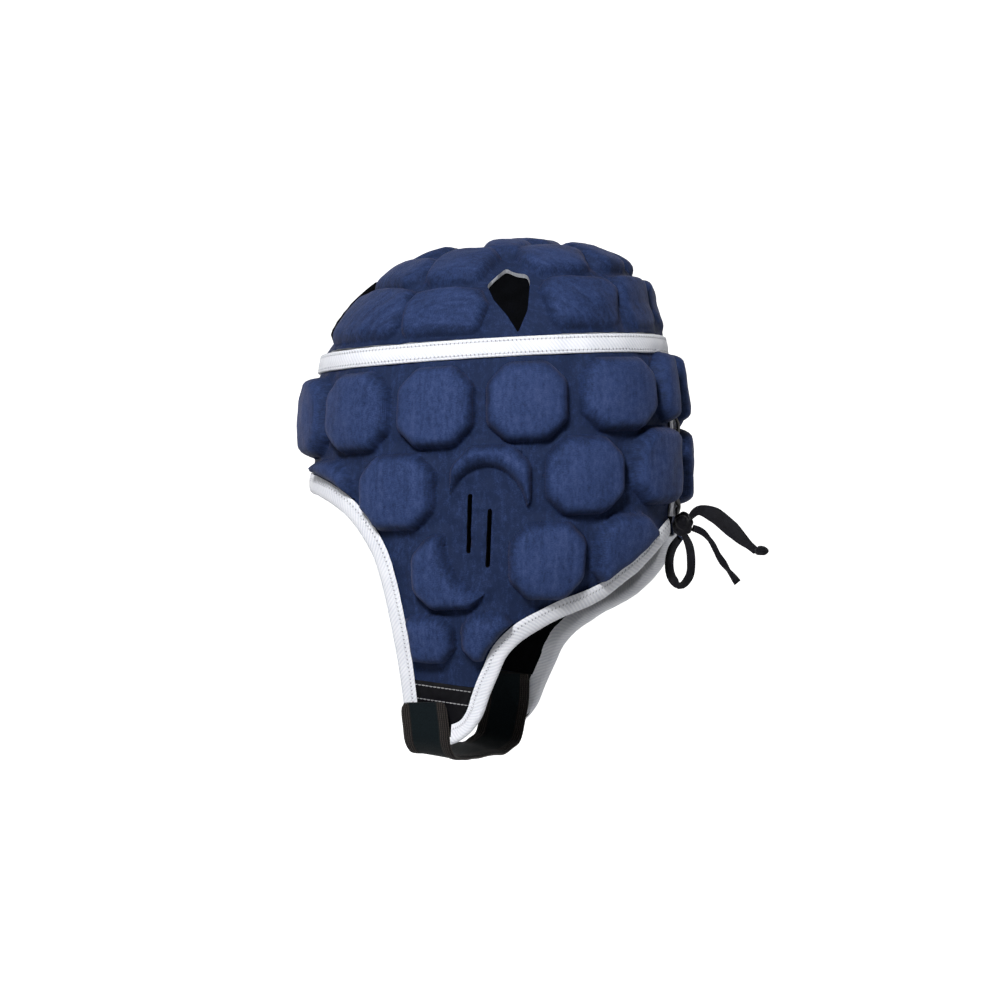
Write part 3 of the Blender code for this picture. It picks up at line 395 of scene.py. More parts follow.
def even_line(line, step, closed=False):
    """The same line with its points at an even step."""
    line = np.asarray(line, dtype=float)
    if closed:
        line = np.vstack([line, line[:1]])
    way = way_along(line)
    count = max(int(round(way[-1] / step)), 1)
    where = np.linspace(0, way[-1], count + 1)
    even = np.stack([np.interp(where, way, line[:, k]) for k in range(line.shape[1])], axis=-1)
    return even[:-1] if closed else even


def side_normals(line):
    """Unit normals to the right of an open line's way, in its plane."""
    way = np.gradient(line, axis=0)
    way = units(way)
    return np.stack([-way[:, 1], way[:, 0]], axis=-1)


def mirrored(points):
    """The points of a flat line on the other side of its middle."""
    return np.asarray(points, dtype=float) * [-1.0, 1.0]


def side_lengths(points):
    """Table shares of the half round and the drop as lengths, pair by pair."""
    return np.asarray(points, dtype=float).reshape(-1, 2) * [HALF_ROUND, PANEL_DROP]


def front_hem_line(step):
    """Outer edge of the front binding, from the wearer's left strap to the right one."""
    left = side_lengths(FRONT_HEM)
    return smooth_line(np.vstack([left[::-1], mirrored(left[1:])]), step)


def rear_hem_line(step):
    """Outer edge of the left rear binding, from the gap down to the strap."""
    return smooth_line(side_lengths(REAR_HEM), step)


def gap_line(step):
    """Left edge of the laced gap, from under the crown band down to the neck."""
    top = (HALF_ROUND - GAP_TOP / 2, BAND_DROP + BAND_WIDTH + CLEAR)
    foot = (HALF_ROUND - GAP_FOOT / 2, REAR_HEM[0][1] * PANEL_DROP - BINDING_WIDTH - CLEAR)
    return even_line(np.array([top, foot]), step)


def inset(line, way):
    """An open line moved into the panel; hems and gap run with the panel on their left."""
    return line + side_normals(line) * way


def foot_drop(length):
    """Drop of the seam between panel and chin tab, at a length round the head."""
    foot = side_lengths(PANEL_FOOT)
    slope = (foot[1, 1] - foot[0, 1]) / (foot[1, 0] - foot[0, 0])
    return foot[0, 1] + (length - foot[0, 0]) * slope


def joined_outline(parts, step):
    """A closed outline from flat lines; the ends of each line stay as corners."""
    lines = []
    for k, part in enumerate(parts):
        following = parts[(k + 1) % len(parts)][:1]
        lines.append(even_line(part, step)[:-1] if len(part) > 1 else part[:0])
        lines.append(even_line(np.vstack([part[-1:], following]), step)[:-1])
    return np.vstack(lines)


def side_panel_outline(edge, seam_drop, step):
    """Outline of the whole side panel, its edges set in from the bindings' outer edges."""
    fine = step / 10
    front = inset(front_hem_line(fine), edge)
    front = front[front[:, 1] < foot_drop(np.abs(front[:, 0]))]
    rear = inset(rear_hem_line(fine), edge)
    gap_side = HALF_ROUND - GAP_FOOT / 2 - edge
    rear = rear[(rear[:, 1] < foot_drop(rear[:, 0])) & (rear[:, 0] < gap_side)]
    rear[0, 0] = gap_side
    gap_top = np.array([[HALF_ROUND - GAP_TOP / 2 - edge, seam_drop]])
    return joined_outline([mirrored(gap_top), gap_top, rear, front, mirrored(rear[::-1])], step)


def tab_outline(edge, step):
    """Outline of the left chin tab, below the panel's foot seam."""
    fine = step / 10
    front = inset(front_hem_line(fine), edge)
    seam = foot_drop(front[:, 0]) + 2 * CLEAR
    foot = side_lengths(TAB_FOOT)
    front = front[(front[:, 0] >= 0) & (front[:, 1] > seam) & (front[:, 1] < foot[1, 1])]
    rear = inset(rear_hem_line(fine), edge)
    rear = rear[(rear[:, 1] > foot_drop(rear[:, 0]) + 2 * CLEAR) & (rear[:, 1] < foot[0, 1])]
    return joined_outline([rear, front], step)


def octagon_depth(points, centre, half, turn=0.0, corner_share=PAD_CORNER_SHARE):
    """Depth inside an upright pad with cut, softened corners; less than zero outside."""
    offset = np.asarray(points, dtype=float) - centre
    c = math.cos(turn)
    s = math.sin(turn)
    u = np.abs(offset[..., 0] * c + offset[..., 1] * s)
    w = np.abs(offset[..., 1] * c - offset[..., 0] * s)
    corner = corner_share * (half[0] + half[1])
    flat = np.minimum(half[0] - u, half[1] - w)
    cut = (half[0] + half[1] - corner - u - w) / math.sqrt(2)
    soft = corner * PAD_CORNER_SOFT
    blend = np.clip(0.5 + 0.5 * (cut - flat) / soft, 0.0, 1.0)
    return cut + (flat - cut) * blend - soft * blend * (1 - blend)


def turned_up(places, faces):
    """Faces turned so that their flat area counts as more than zero."""
    out = []
    for face in faces:
        a, b, c = (places[k] for k in face[:3])
        area = (b[0] - a[0]) * (c[1] - a[1]) - (b[1] - a[1]) * (c[0] - a[0])
        out.append(face if area > 0 else face[::-1])
    return out


def boundary_edges(faces):
    """Directed edges that only one face has."""
    seen = set()
    for face in faces:
        for k in range(len(face)):
            seen.add((face[k], face[(k + 1) % len(face)]))
    return [edge for edge in seen if (edge[1], edge[0]) not in seen]


def border_loops(places, faces):
    """The closed outlines of a flat mesh, as places in their order."""
    following = dict(boundary_edges(faces))
    loops = []
    while following:
        start, here = following.popitem()
        loop = [start]
        while here in following:
            loop.append(here)
            here = following.pop(here)
        loops.append(places[loop])
    return loops


def vent_outlines():
    """The three crown vents as closed outlines in metres on the flat disc."""
    front = np.array(FRONT_VENT)
    front = np.vstack([front, mirrored(front[-2:0:-1])]) * CROWN_RADIUS
    side = np.array(SIDE_VENT) * CROWN_RADIUS
    return [front, side, mirrored(side[::-1])]


def disc_outline(radius, step):
    """A circle on the flat disc."""
    count = int(round(2 * math.pi * radius / step))
    turn = np.linspace(0, 2 * math.pi, count, endpoint=False)
    return np.stack([np.sin(turn), -np.cos(turn)], axis=-1) * radius


def side_tangent(round_share, drop_share):
    """Unit way round the head at a place of the side pattern."""
    place = side_lengths([[round_share, drop_share]])
    ahead = side_wrap(place + [[0.001, 0.0]], 0.0) - side_wrap(place - [[0.001, 0.0]], 0.0)
    return (ahead / np.linalg.norm(ahead))[0]


def strap_frames(step):
    """Middle line of the chin strap with its width and outward ways, near end to far end."""
    near_height = SHEET + 4 * CLEAR + BINDING_CLOTH + STRAP_THICK / 2
    far_height = -(FOLD_GAP + BINDING_CLOTH + STRAP_THICK / 2 + STRAP_FAR_SAG)
    near_drop = np.linspace(*STRAP_NEAR_DROP, 4) * PANEL_DROP
    near = side_wrap(np.stack([np.full(4, STRAP_NEAR_ROUND * HALF_ROUND), near_drop], axis=-1), near_height)
    far_drop = np.linspace(*STRAP_FAR_DROP, 4)[::-1] * PANEL_DROP
    far = side_wrap(np.stack([np.full(4, -STRAP_FAR_ROUND * HALF_ROUND), far_drop], axis=-1), far_height)
    lowest = -CROWN_RISE - STRAP_UNDER * PANEL_DROP
    under = []
    for row in rows(STRAP_UNDER_LINE, STRAP_UNDER_COLUMNS):
        share = (1 - row["across"]) / 2
        end = near[-1] if row["across"] > 0 else far[0]
        y = near[-1][1] * (1 - share) + far[0][1] * share
        z = end[2] * (1 - row["sink"]) + lowest * row["sink"]
        under.append([abs(row["across"]) * end[0], y, z])
    route = np.vstack([near, under, far])
    line = smooth_line(route, step)
    way = np.gradient(line, axis=0)
    way = units(way)
    share = np.abs(np.linspace(-1, 1, len(line)))[:, None]
    lean = np.array([0.0, math.cos(STRAP_LEAN), -math.sin(STRAP_LEAN)])
    wide = lean * (1 - share**2) + np.array([0.0, 1.0, 0.0]) * share**2
    end_wide = side_tangent(STRAP_NEAR_ROUND, STRAP_NEAR_DROP[0])
    wide[line[:, 0] > 0] += (end_wide * [1, 0, 0]) * (share[line[:, 0] > 0] ** 2)
    wide[line[:, 0] < 0] += (end_wide * [-1, 0, 0]) * (share[line[:, 0] < 0] ** 2)
    wide -= way * np.sum(wide * way, axis=1, keepdims=True)
    wide = units(wide)
    return line, wide, np.cross(way, wide)


# Fine depths round a pad's rim, with the spacing of the points at each
FINE_LEVELS = (
    (-0.0026, 0.0020), (-0.0015, 0.0016), (-0.0007, 0.0014), (0.0000, 0.0013), (0.0003, 0.0013),
    (0.0008, 0.0013), (0.0016, 0.0014), (0.0028, 0.0016), (0.0044, 0.0018), (0.0064, 0.0021),
    (0.0088, 0.0024),
)
FINE_CELLS = 110
PAD_MARGIN = 0.004
VALLEY_STEP = 0.0019
CENTRE_STEP = 0.0026

# Jersey stretched over the pads: its rim, its rise, and the sizes of its swells, folds and creases
STRETCHED_SHOULDER = 0.0062
STRETCHED_RISE = 1.12
PAD_UNEVEN = 0.05
PAD_SWELL = 0.0008
RIM_LIP = 0.0001
VALLEY_SAG = 0.0007
TOP_CREASE = 0.00014
SLACK_FOLD = 0.00030
SLACK_CREASE = 0.00022
EAR_FOLD = 0.00030
SIDE_FILLET = 0.0004
CROWN_FILLET = 0.0009

# Crown pads: how much they spread, their corners, and the share of height that they lose to the back
CROWN_PAD_SPREAD = 0.0007
CROWN_CORNER_SHARE = 0.17
CROWN_BACK_LOSS = 0.5
CROWN_BACK_FROM = 0.66
CROWN_BACK_RUN = 0.14

# Side pads, as shares round: from here they run on to the gap, and from here the ear leaves them whole
GAP_PAD_FROM = 0.88
GAP_PAD_REACH = 0.009
WHOLE_PAD_FROM = 0.65

# Painted valley shade on the jersey: the pad depth where the share free of it starts to rise, its way to
# full, and that share's most on the crown, so the crown pads keep a little painted shade
VALLEY_SHADE_FROM = -0.0010
VALLEY_SHADE_RUN = 0.0070
CROWN_UNSHADED_SHARE = 0.72

# Linings: their swell over the pads, and their heights in the front vent and in the side vents
LINING_SWELL = 0.0013
LINING_WAVE = 0.0003
FRONT_VENT_RISE = 0.0105
SIDE_VENT_SAG = 0.0012

# Tapes: width at the gap, the bent foot of a rear tape, the ways of the stitches and unevenness
GAP_TAPE = 0.0034
CURL_LENGTH = 0.020
CURL_FORWARD = 0.0048
CURL_LIFT = 0.0024
FINE_HEM = 0.0016
STITCH_WAY = 0.0074
TAPE_RIPPLE = 0.00025
BAND_RIPPLE = 0.00012
GAP_RIPPLE = 0.0001

# Stitches, as pitch, length and radius of the thread
BAND_STITCH = (0.0022, 0.0016, 0.00026)
HEM_STITCH = (0.00205, 0.0014, 0.00025)
TAB_STITCH = (0.0026, 0.0018, 0.00028)

# Crown band's section, as way down and height
BAND_SECTION = (
    (0.0000, -0.0004), (0.0000, 0.0006), (0.0006, 0.00105), (0.0016, 0.00080), (0.0030, 0.00115),
    (0.0049, 0.00130), (0.0068, 0.00115), (0.0082, 0.00080), (0.0092, 0.00105), (0.0098, 0.0006),
    (0.0098, -0.0004),
)

# Sections of flat laces, as shares of the half width and of the thickness: the bow's and the lacing's
RIBBON_SECTION = (
    (-1.0, 0.0), (-0.80, 0.5), (-0.62, 0.62), (0.0, 0.5), (0.62, 0.62), (0.80, 0.5),
    (1.0, 0.0), (0.80, -0.5), (0.62, -0.62), (0.0, -0.5), (-0.62, -0.62), (-0.80, -0.5),
)
LACING_SECTION = (
    (-1, 0.0), (-0.85, 0.8), (-0.4, 1.0), (0, 0.85), (0.4, 1.0),
    (0.85, 0.8), (1, 0.0), (0.85, -0.1), (0, -0.1), (-0.85, -0.1),
)

# Strap: places across its half width, where the selvage starts, how high it stands, and its thin edge
STRAP_PLACES = (0.0, 0.25, 0.53, 0.60, 0.66, 0.76, 0.85, 0.93, 0.985, 1.0)
SELVAGE_FROM = 0.57
SELVAGE_RISE = 0.00035
STRAP_EDGE = 0.93

# Camera: its bearing and distance, metres a pixel at the cap's axis, and the point that it looks at
CAMERA_AZIMUTH = math.radians(105)
CAMERA_DISTANCE = 1.7
PIXEL = 0.00054
LOOK_HEIGHT = -0.131
LOOK_RIGHT = 0.00324


def chunked_distance(points, loop, chunk=6000):
    """Distance of places from a closed flat loop, more than zero inside it."""
    points = np.asarray(points, dtype=float)
    flat = points.reshape(-1, 2)
    start = np.asarray(loop, dtype=float)
    end = np.roll(start, -1, axis=0)
    run = end - start
    length = np.sum(run * run, axis=-1)
    slope = np.where(np.abs(run[:, 1]) > 1e-12, run[:, 0] / np.where(run[:, 1] == 0, 1, run[:, 1]), 0)
    out = np.empty(len(flat))
    for k in range(0, len(flat), chunk):
        part = flat[k:k + chunk]
        dx = part[:, 0, None] - start[:, 0]
        dy = part[:, 1, None] - start[:, 1]
        share = np.clip((dx * run[:, 0] + dy * run[:, 1]) / length, 0.0, 1.0)
        nearest = np.sqrt(((dx - share * run[:, 0]) ** 2 + (dy - share * run[:, 1]) ** 2).min(axis=1))
        above = start[:, 1] > part[:, 1, None]
        side = part[:, 0, None] < start[:, 0] + (part[:, 1, None] - start[:, 1]) * slope
        inside = np.sum((above != np.roll(above, -1, axis=-1)) & side, axis=-1) % 2 == 1
        out[k:k + chunk] = np.where(inside, nearest, -nearest)
    return out.reshape(points.shape[:-1])


def region(outline, holes, margin=0.0):
    """A test for places inside an outline and outside its holes."""

    def test(points):
        inside = chunked_distance(points, outline) > margin
        for hole in holes:
            inside &= chunked_distance(points, hole) < -margin
        return inside

    return test


def contours(depth_of, centre, reach, levels):
    """Closed lines round a pad at several depths, each at its own step."""
    xs = np.linspace(centre[0] - reach[0], centre[0] + reach[0], FINE_CELLS)
    ys = np.linspace(centre[1] - reach[1], centre[1] + reach[1], FINE_CELLS)
    grid = np.stack(np.meshgrid(xs, ys, indexing="ij"), axis=-1)
    depth = depth_of(grid)
    lines = []
    for level, step in levels:
        values = depth - level
        values[[0, -1], :] = np.minimum(values[[0, -1], :], -1e-7)
        values[:, [0, -1]] = np.minimum(values[:, [0, -1]], -1e-7)
        inside = values > 0
        mixed = (inside[:-1, :-1] | inside[1:, :-1] | inside[1:, 1:] | inside[:-1, 1:])
        mixed &= ~(inside[:-1, :-1] & inside[1:, :-1] & inside[1:, 1:] & inside[:-1, 1:])
        links = {}
        for i, j in np.argwhere(mixed):
            corners = ((i, j), (i + 1, j), (i + 1, j + 1), (i, j + 1))
            signs = [inside[c] for c in corners]
            leave = []
            enter = []
            for k in range(4):
                n = (k + 1) % 4
                if signs[k] and not signs[n]:
                    leave.append((corners[k], corners[n]))
                if signs[n] and not signs[k]:
                    enter.append((corners[n], corners[k]))
            for start, end in zip(leave, enter):
                links[start] = end
        while links:
            start, here = links.popitem()
            ring = [start]
            while here in links:
                ring.append(here)
                here = links.pop(here)
            points = []
            for one, two in ring:
                share = values[one] / (values[one] - values[two])
                points.append(grid[one] + (grid[two] - grid[one]) * share)
            line = even_line(np.array(points), step, closed=True) if len(points) > 6 else []
            if len(line) > 5:
                lines.append(line)
    return lines


def triangulate(loops, points, inside):
    """Flat triangles between outlines and through free points, where inside says so, all face up."""
    flat = []
    edges = []
    for loop in loops:
        start = len(flat)
        flat.extend(Vector(p) for p in loop)
        edges.extend((k, k + 1) for k in range(start, len(flat) - 1))
        edges.append((len(flat) - 1, start))
    flat.extend(Vector(p) for p in points)
    places, _, faces, _, _, _ = delaunay_2d_cdt(flat, edges, [], 0, 1e-7)
    places = np.array([tuple(p) for p in places])
    faces = np.array([tuple(face) for face in faces])
    keep = inside(places[faces].mean(axis=1))
    return places, turned_up(places, [tuple(face) for face in faces[keep]])


def staggered(low, high, step):
    """Points in staggered lines over a flat box."""
    lines = []
    for k, y in enumerate(np.arange(low[1], high[1], step * 0.87)):
        xs = np.arange(low[0] + step * 0.5 * (k % 2), high[0], step)
        lines.append(np.stack([xs, np.full(len(xs), y)], axis=-1))
    return np.vstack(lines)


def waves(points, count, scale, seed):
    """A smooth uneven field from -1 to 1, made of waves in many directions."""
    rng = np.random.default_rng(seed)
    turn = rng.uniform(0, 2 * math.pi, count)
    size = rng.uniform(0.6, 1.6, count) * 2 * math.pi / scale
    phase = rng.uniform(0, 2 * math.pi, count)
    total = np.zeros(points.shape[:-1])
    for t, s, p in zip(turn, size, phase):
        total += np.sin((points[..., 0] * math.cos(t) + points[..., 1] * math.sin(t)) * s + p)
    return total / math.sqrt(count / 2) / 2


def waves_along(distance, count, scale, seed):
    """The uneven field along one line."""
    return waves(np.stack([distance, 0 * distance], axis=-1), count, scale, seed)


def smooth_step(value):
    """0 to 1 with level ends."""
    t = np.clip(value, 0.0, 1.0)
    return t * t * (3 - 2 * t)


def new_piece(name, places, faces, materials, uv, index=None):
    """A smooth mesh piece with its pattern coordinates and the material of each face."""
    mesh = bpy.data.meshes.new(name)
    mesh.from_pydata(np.asarray(places, dtype=float).tolist(), [], [tuple(int(k) for k in f) for f in faces])
    for material in materials:
        mesh.materials.append(material)
    if index is not None:
        mesh.polygons.foreach_set("material_index", np.asarray(index, dtype=np.int32))
    layer = mesh.uv_layers.new(name="pattern")
    loops = np.empty(len(mesh.loops), dtype=np.int32)
    mesh.loops.foreach_get("vertex_index", loops)
    layer.data.foreach_set("uv", np.asarray(uv, dtype=np.float32)[loops].ravel())
    mesh.shade_smooth()
    mesh.validate()
    made = bpy.data.objects.new(name, mesh)
    bpy.context.scene.collection.objects.link(made)
    return made


def paint_valley_shade(piece, depth_of, most):
    """Store on each vertex its share free of painted shade: most on the pad, nothing in a valley, which the
    jersey darkens as painted shade.
    """
    mesh = piece.data
    uv = np.empty(2 * len(mesh.loops))
    mesh.uv_layers["pattern"].data.foreach_get("uv", uv)
    corner = np.empty(len(mesh.loops), dtype=np.int32)
    mesh.loops.foreach_get("vertex_index", corner)
    pattern = np.zeros((len(mesh.vertices), 2))
    pattern[corner] = uv.reshape(-1, 2)
    unshaded_share = most * smooth_step((depth_of(pattern) - VALLEY_SHADE_FROM) / VALLEY_SHADE_RUN)
    mesh.attributes.new("unshaded_share", "FLOAT", "POINT").data.foreach_set("value", unshaded_share.astype(np.float32))


def facing_out(piece):
    """The piece with its faces turned outwards."""
    built = bmesh.new()
    built.from_mesh(piece.data)
    bmesh.ops.recalc_face_normals(built, faces=built.faces)
    if built.calc_volume(signed=True) < 0:
        bmesh.ops.reverse_faces(built, faces=built.faces)
    built.to_mesh(piece.data)
    built.free()
    return piece


def ringed_piece(name, rings, uvs, material, closed=False):
    """A solid piece from lines that run side by side round its section."""
    places = np.stack(rings, axis=1).reshape(-1, 3)
    uv = np.stack(uvs, axis=1).reshape(-1, 2)
    sides = len(rings)
    count = len(rings[0])
    faces = []
    for k in range(count if closed else count - 1):
        here = k * sides
        there = ((k + 1) % count) * sides
        for m in range(sides):
            n = (m + 1) % sides
            faces.append((here + m, here + n, there + n, there + m))
    if not closed:
        faces.append(tuple(range(sides)))
        faces.append(tuple(reversed(range(len(places) - sides, len(places)))))
    return facing_out(new_piece(name, places, faces, [material], uv))


def place(piece, slot_name, *nodes):
    """The piece rides on the cap and stands for its CAD nodes, which are hidden; its slot name is not used.
    """
    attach(piece, "root")
    if nodes:
        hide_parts(*nodes)
    return piece


def inside_grid(outline, holes, step, margin):
    """Staggered points inside an outline, clear of its edges."""
    grid = staggered(outline.min(axis=0), outline.max(axis=0), step)
    return grid[region(outline, holes, margin)(grid)]


def fine_panel(name, wrap, outline, holes, points, top, inner_step, materials):
    """A closed panel with a finely modelled outside, a plain inside and walls of its last material."""
    inside = region(outline, holes)
    outer, outer_faces = triangulate([outline] + holes, points, inside)
    loops = border_loops(outer, outer_faces)
    inner, inner_faces = triangulate(loops, inside_grid(outline, holes, inner_step, inner_step * 0.5), inside)
    places = np.vstack([wrap(outer, top(outer)), wrap(inner, np.zeros(len(inner)))])
    shift = len(outer)
    faces = outer_faces + [tuple(k + shift for k in reversed(face)) for face in inner_faces]
    index = [0] * len(faces)
    nearest = {tuple(np.round(p, 6)): k for k, p in enumerate(inner)}
    for one, two in boundary_edges(outer_faces):
        key_one = tuple(np.round(outer[one], 6))
        key_two = tuple(np.round(outer[two], 6))
        if key_one in nearest and key_two in nearest:
            faces.append((two, one, nearest[key_one] + shift, nearest[key_two] + shift))
            index.append(len(materials) - 1)
    piece = new_piece(name, places, faces, materials, np.vstack([outer, inner]), index)
    piece.data.set_sharp_from_angle(angle=math.radians(70))
    return piece


# Materials. Scales count threads and spots on a pattern in millimetres.

TAPE_WHITE = (0.77, 0.78, 0.82)
TAPE_SHADE = (0.61, 0.63, 0.70)
# Colour of the painted shade in the needle holes and along the stitch grooves
NEEDLE_HOLE_SHADE = (0.07, 0.07, 0.09, 1.0)


def cloth(name, roughness, specular=0.5, sheen=0.0):
    """A Principled material with its pattern coordinates in millimetres."""
    material = bpy.data.materials.new(name)
    material.use_nodes = True
    tree = material.node_tree
    shader = tree.nodes["Principled BSDF"]
    shader.inputs["Roughness"].default_value = roughness
    shader.inputs["Specular IOR Level"].default_value = specular
    shader.inputs["Sheen Weight"].default_value = sheen
    uv = add_node(tree, "ShaderNodeUVMap", uv_map="pattern").outputs["UV"]
    scaled = add_node(tree, "ShaderNodeVectorMath", {0: uv}, operation="SCALE")
    scaled.inputs["Scale"].default_value = 1000.0
    return material, tree, shader, scaled.outputs["Vector"]


def add_node(tree, kind, inputs=None, **settings):
    """A node with its settings, its plain inputs and its linked ones."""
    node = tree.nodes.new(kind)
    for key, value in settings.items():
        setattr(node, key, value)
    for key, value in (inputs or {}).items():
        if isinstance(value, bpy.types.NodeSocket):
            tree.links.new(value, node.inputs[key])
        else:
            node.inputs[key].default_value = value
    return node


def worked(tree, value, *steps):
    """A material value taken through arithmetic steps: each an operation and what it works with."""
    for operation, *others in steps:
        values = dict(enumerate([value] + others))
        value = add_node(tree, "ShaderNodeMath", values, operation=operation).outputs[0]
    return value


def weighted(tree, *parts):
    """The sum of material values, each times its weight."""
    total = None
    for value, weight in parts:
        part = worked(tree, value, ("MULTIPLY", weight))
        total = part if total is None else worked(tree, total, ("ADD", part))
    return total


def noise(tree, vector, scale, detail=3.0, rough=0.6):
    """Even noise from 0 to 1."""
    inputs = {"Vector": vector, "Scale": scale, "Detail": detail, "Roughness": rough}
    return add_node(tree, "ShaderNodeTexNoise", inputs).outputs[0]


def bands(tree, vector, scale, distortion=0.0, detail=2.0, detail_scale=1.0, way="X"):
    """Soft bands across the pattern, from 0 to 1."""
    inputs = {"Vector": vector, "Scale": scale, "Distortion": distortion, "Detail": detail,
              "Detail Scale": detail_scale}
    return add_node(tree, "ShaderNodeTexWave", inputs, bands_direction=way).outputs[1]


def stretched(tree, vector, along, across, turn=0.0):
    """Pattern coordinates turned and scaled, for threads."""
    inputs = {"Vector": vector, "Scale": (along, across, 1.0), "Rotation": (0.0, 0.0, turn)}
    return add_node(tree, "ShaderNodeMapping", inputs).outputs[0]


def ramp(tree, value, *stops):
    """A colour ramp with (place, colour) stops."""
    node = tree.nodes.new("ShaderNodeValToRGB")
    line = node.color_ramp
    while len(line.elements) < len(stops):
        line.elements.new(0.5)
    for element, (where, colour) in zip(line.elements, stops):
        element.position = where
        element.color = (*colour, 1.0)
    tree.links.new(value, node.inputs[0])
    return node.outputs[0]


def blended(tree, share, first, second):
    """The first colour turned into the second by a share."""
    return add_node(tree, "ShaderNodeMix", {0: share, 6: first, 7: second}, data_type="RGBA").outputs[2]


def finished(tree, shader, colour, height, distance, strength):
    """Give the shader its colour and a bump from a height."""
    tree.links.new(colour, shader.inputs["Base Color"])
    bump = add_node(tree, "ShaderNodeBump", {"Height": height, "Distance": distance, "Strength": strength})
    tree.links.new(bump.outputs[0], shader.inputs["Normal"])


def separate(tree, vector):
    """The two pattern coordinates."""
    node = add_node(tree, "ShaderNodeSeparateXYZ", {0: vector})
    return node.outputs[0], node.outputs[1]


def navy_jersey():
    """Brushed jersey that stretches: fine knit, mottled, with painted shade darkening the valleys between the
    pads.
    """
    material, tree, shader, mm = cloth("navy_jersey_knit", 0.72, 0.12, 0.05)
    shader.inputs["Sheen Roughness"].default_value = 0.40
    shader.inputs["Sheen Tint"].default_value = (0.66, 0.60, 0.85, 1.0)
    fine = noise(tree, stretched(tree, mm, 1.15, 1.9), 1.0, rough=0.7)
    fleck = noise(tree, stretched(tree, mm, 0.55, 0.30), 1.0, detail=4.0, rough=0.65)
    cloud = noise(tree, mm, 0.05, rough=0.5)
    streak = noise(tree, stretched(tree, mm, 0.30, 0.045), 1.0, detail=2.0, rough=0.5)
    knit = bands(tree, mm, 0.55, distortion=1.6, detail_scale=1.4)
    unshaded_share = add_node(tree, "ShaderNodeAttribute", attribute_name="unshaded_share").outputs["Fac"]
    # The stored share darkens the valleys, and the crown pads a little: painted shade
    tone = weighted(
        tree, (fine, 0.45), (fleck, 0.40), (cloud, 0.15),
        (worked(tree, streak, ("SUBTRACT", 0.32)), 0.24), (worked(tree, unshaded_share, ("SUBTRACT", 1.0)), 0.15),
    )
    colour = ramp(tree, tone, (0.38, (0.009, 0.018, 0.054)), (0.54, (0.021, 0.039, 0.115)),
                  (0.72, (0.047, 0.070, 0.175)))
    finished(tree, shader, colour, weighted(tree, (knit, 0.35), (fine, 0.8)), 0.00035, 0.75)
    return material


def twill(name, stitches):
    """Bright binding tape with a fine twill and needle holes, with painted shade in the holes and a painted
    shadow groove down each stitch line: stitches give their way and pitch.
    """
    material, tree, shader, mm = cloth(name, 0.78, 0.3, 0.15)
    along, across = separate(tree, mm)
    ribs = bands(tree, stretched(tree, mm, 1.0, 1.0, math.radians(38)), 0.19, distortion=0.5, detail=1.0)
    fine = noise(tree, mm, 1.6)
    soft = noise(tree, mm, 0.10, rough=0.55)
    holes = 0.0
    for way, pitch in stitches:
        # Painted shade: dark needle holes between the stitches and a fainter painted shadow groove all along
        # each stitch line
        near = worked(tree, across, ("SUBTRACT", way), ("ABSOLUTE",), ("MULTIPLY", -1.35), ("ADD", 1.0))
        beat = worked(tree, along, ("DIVIDE", pitch), ("FRACT",), ("SUBTRACT", 0.5), ("ABSOLUTE",))
        beat = worked(tree, beat, ("SUBTRACT", 0.27), ("MULTIPLY", 5.0), ("MAXIMUM", 0.10))
        holes = worked(tree, near, ("MAXIMUM", 0.0), ("MULTIPLY", beat), ("MINIMUM", 1.0), ("MAXIMUM", holes))
    # The tone mixes random mottling with the twill ribs, whose darker lines are painted shade in the twill's
    # grooves
    tone = weighted(tree, (fine, 0.3), (soft, 0.45), (ribs, 0.25))
    plain = ramp(tree, tone, (0.30, TAPE_SHADE), (0.60, TAPE_WHITE))
    height = weighted(tree, (ribs, 0.6), (fine, 0.5), (holes, -1.6))
    finished(tree, shader, blended(tree, holes, plain, NEEDLE_HOLE_SHADE), height, 0.0003, 0.6)
    return material


def dark_cloth(name, low, high, roughness, along, across, strength, sheen):
    """Dark cloth with a fine thread structure."""
    material, tree, shader, mm = cloth(name, roughness, 0.04, sheen)
    threads = noise(tree, stretched(tree, mm, along, across), 1.0, detail=2.0)
    soft = noise(tree, mm, 0.12, rough=0.5)
    tone = weighted(tree, (threads, 0.6), (soft, 0.4))
    finished(tree, shader, ramp(tree, tone, (0.35, low), (0.68, high)), threads, 0.0003, strength)
    return material


def strap_webbing():
    """Chin strap: ribbed grey-brown selvages beside a dark brushed middle."""
    material, tree, shader, mm = cloth("chin_strap_webbing", 0.7, 0.08, 0.03)
    across = separate(tree, mm)[1]
    edge = worked(tree, across, ("ABSOLUTE",), ("SUBTRACT", STRAP_WIDTH * 500 - 5.6), ("MULTIPLY", 2.5),
                  ("MAXIMUM", 0.0), ("MINIMUM", 1.0))
    ribs = bands(tree, stretched(tree, mm, 0.0, 1.0), 0.28, distortion=0.3, way="Y")
    picks = bands(tree, mm, 0.30, distortion=0.6)
    fuzz = noise(tree, stretched(tree, mm, 0.9, 2.2), 1.0, rough=0.7)
    weave = worked(tree, picks, ("MULTIPLY", 0.5), ("ADD", 0.6), ("MULTIPLY", ribs))
    brown = ramp(tree, weave, (0.15, (0.009, 0.008, 0.008)), (0.85, (0.040, 0.034, 0.031)))
    teal = ramp(tree, fuzz, (0.35, (0.0015, 0.0040, 0.0052)), (0.70, (0.0060, 0.0110, 0.0140)))
    selvage = worked(tree, picks, ("MULTIPLY", 0.4), ("ADD", ribs), ("MULTIPLY", edge))
    height = weighted(tree, (selvage, 1.0), (fuzz, 0.4))
    finished(tree, shader, blended(tree, edge, teal, brown), height, 0.0005, 0.8)
    return material


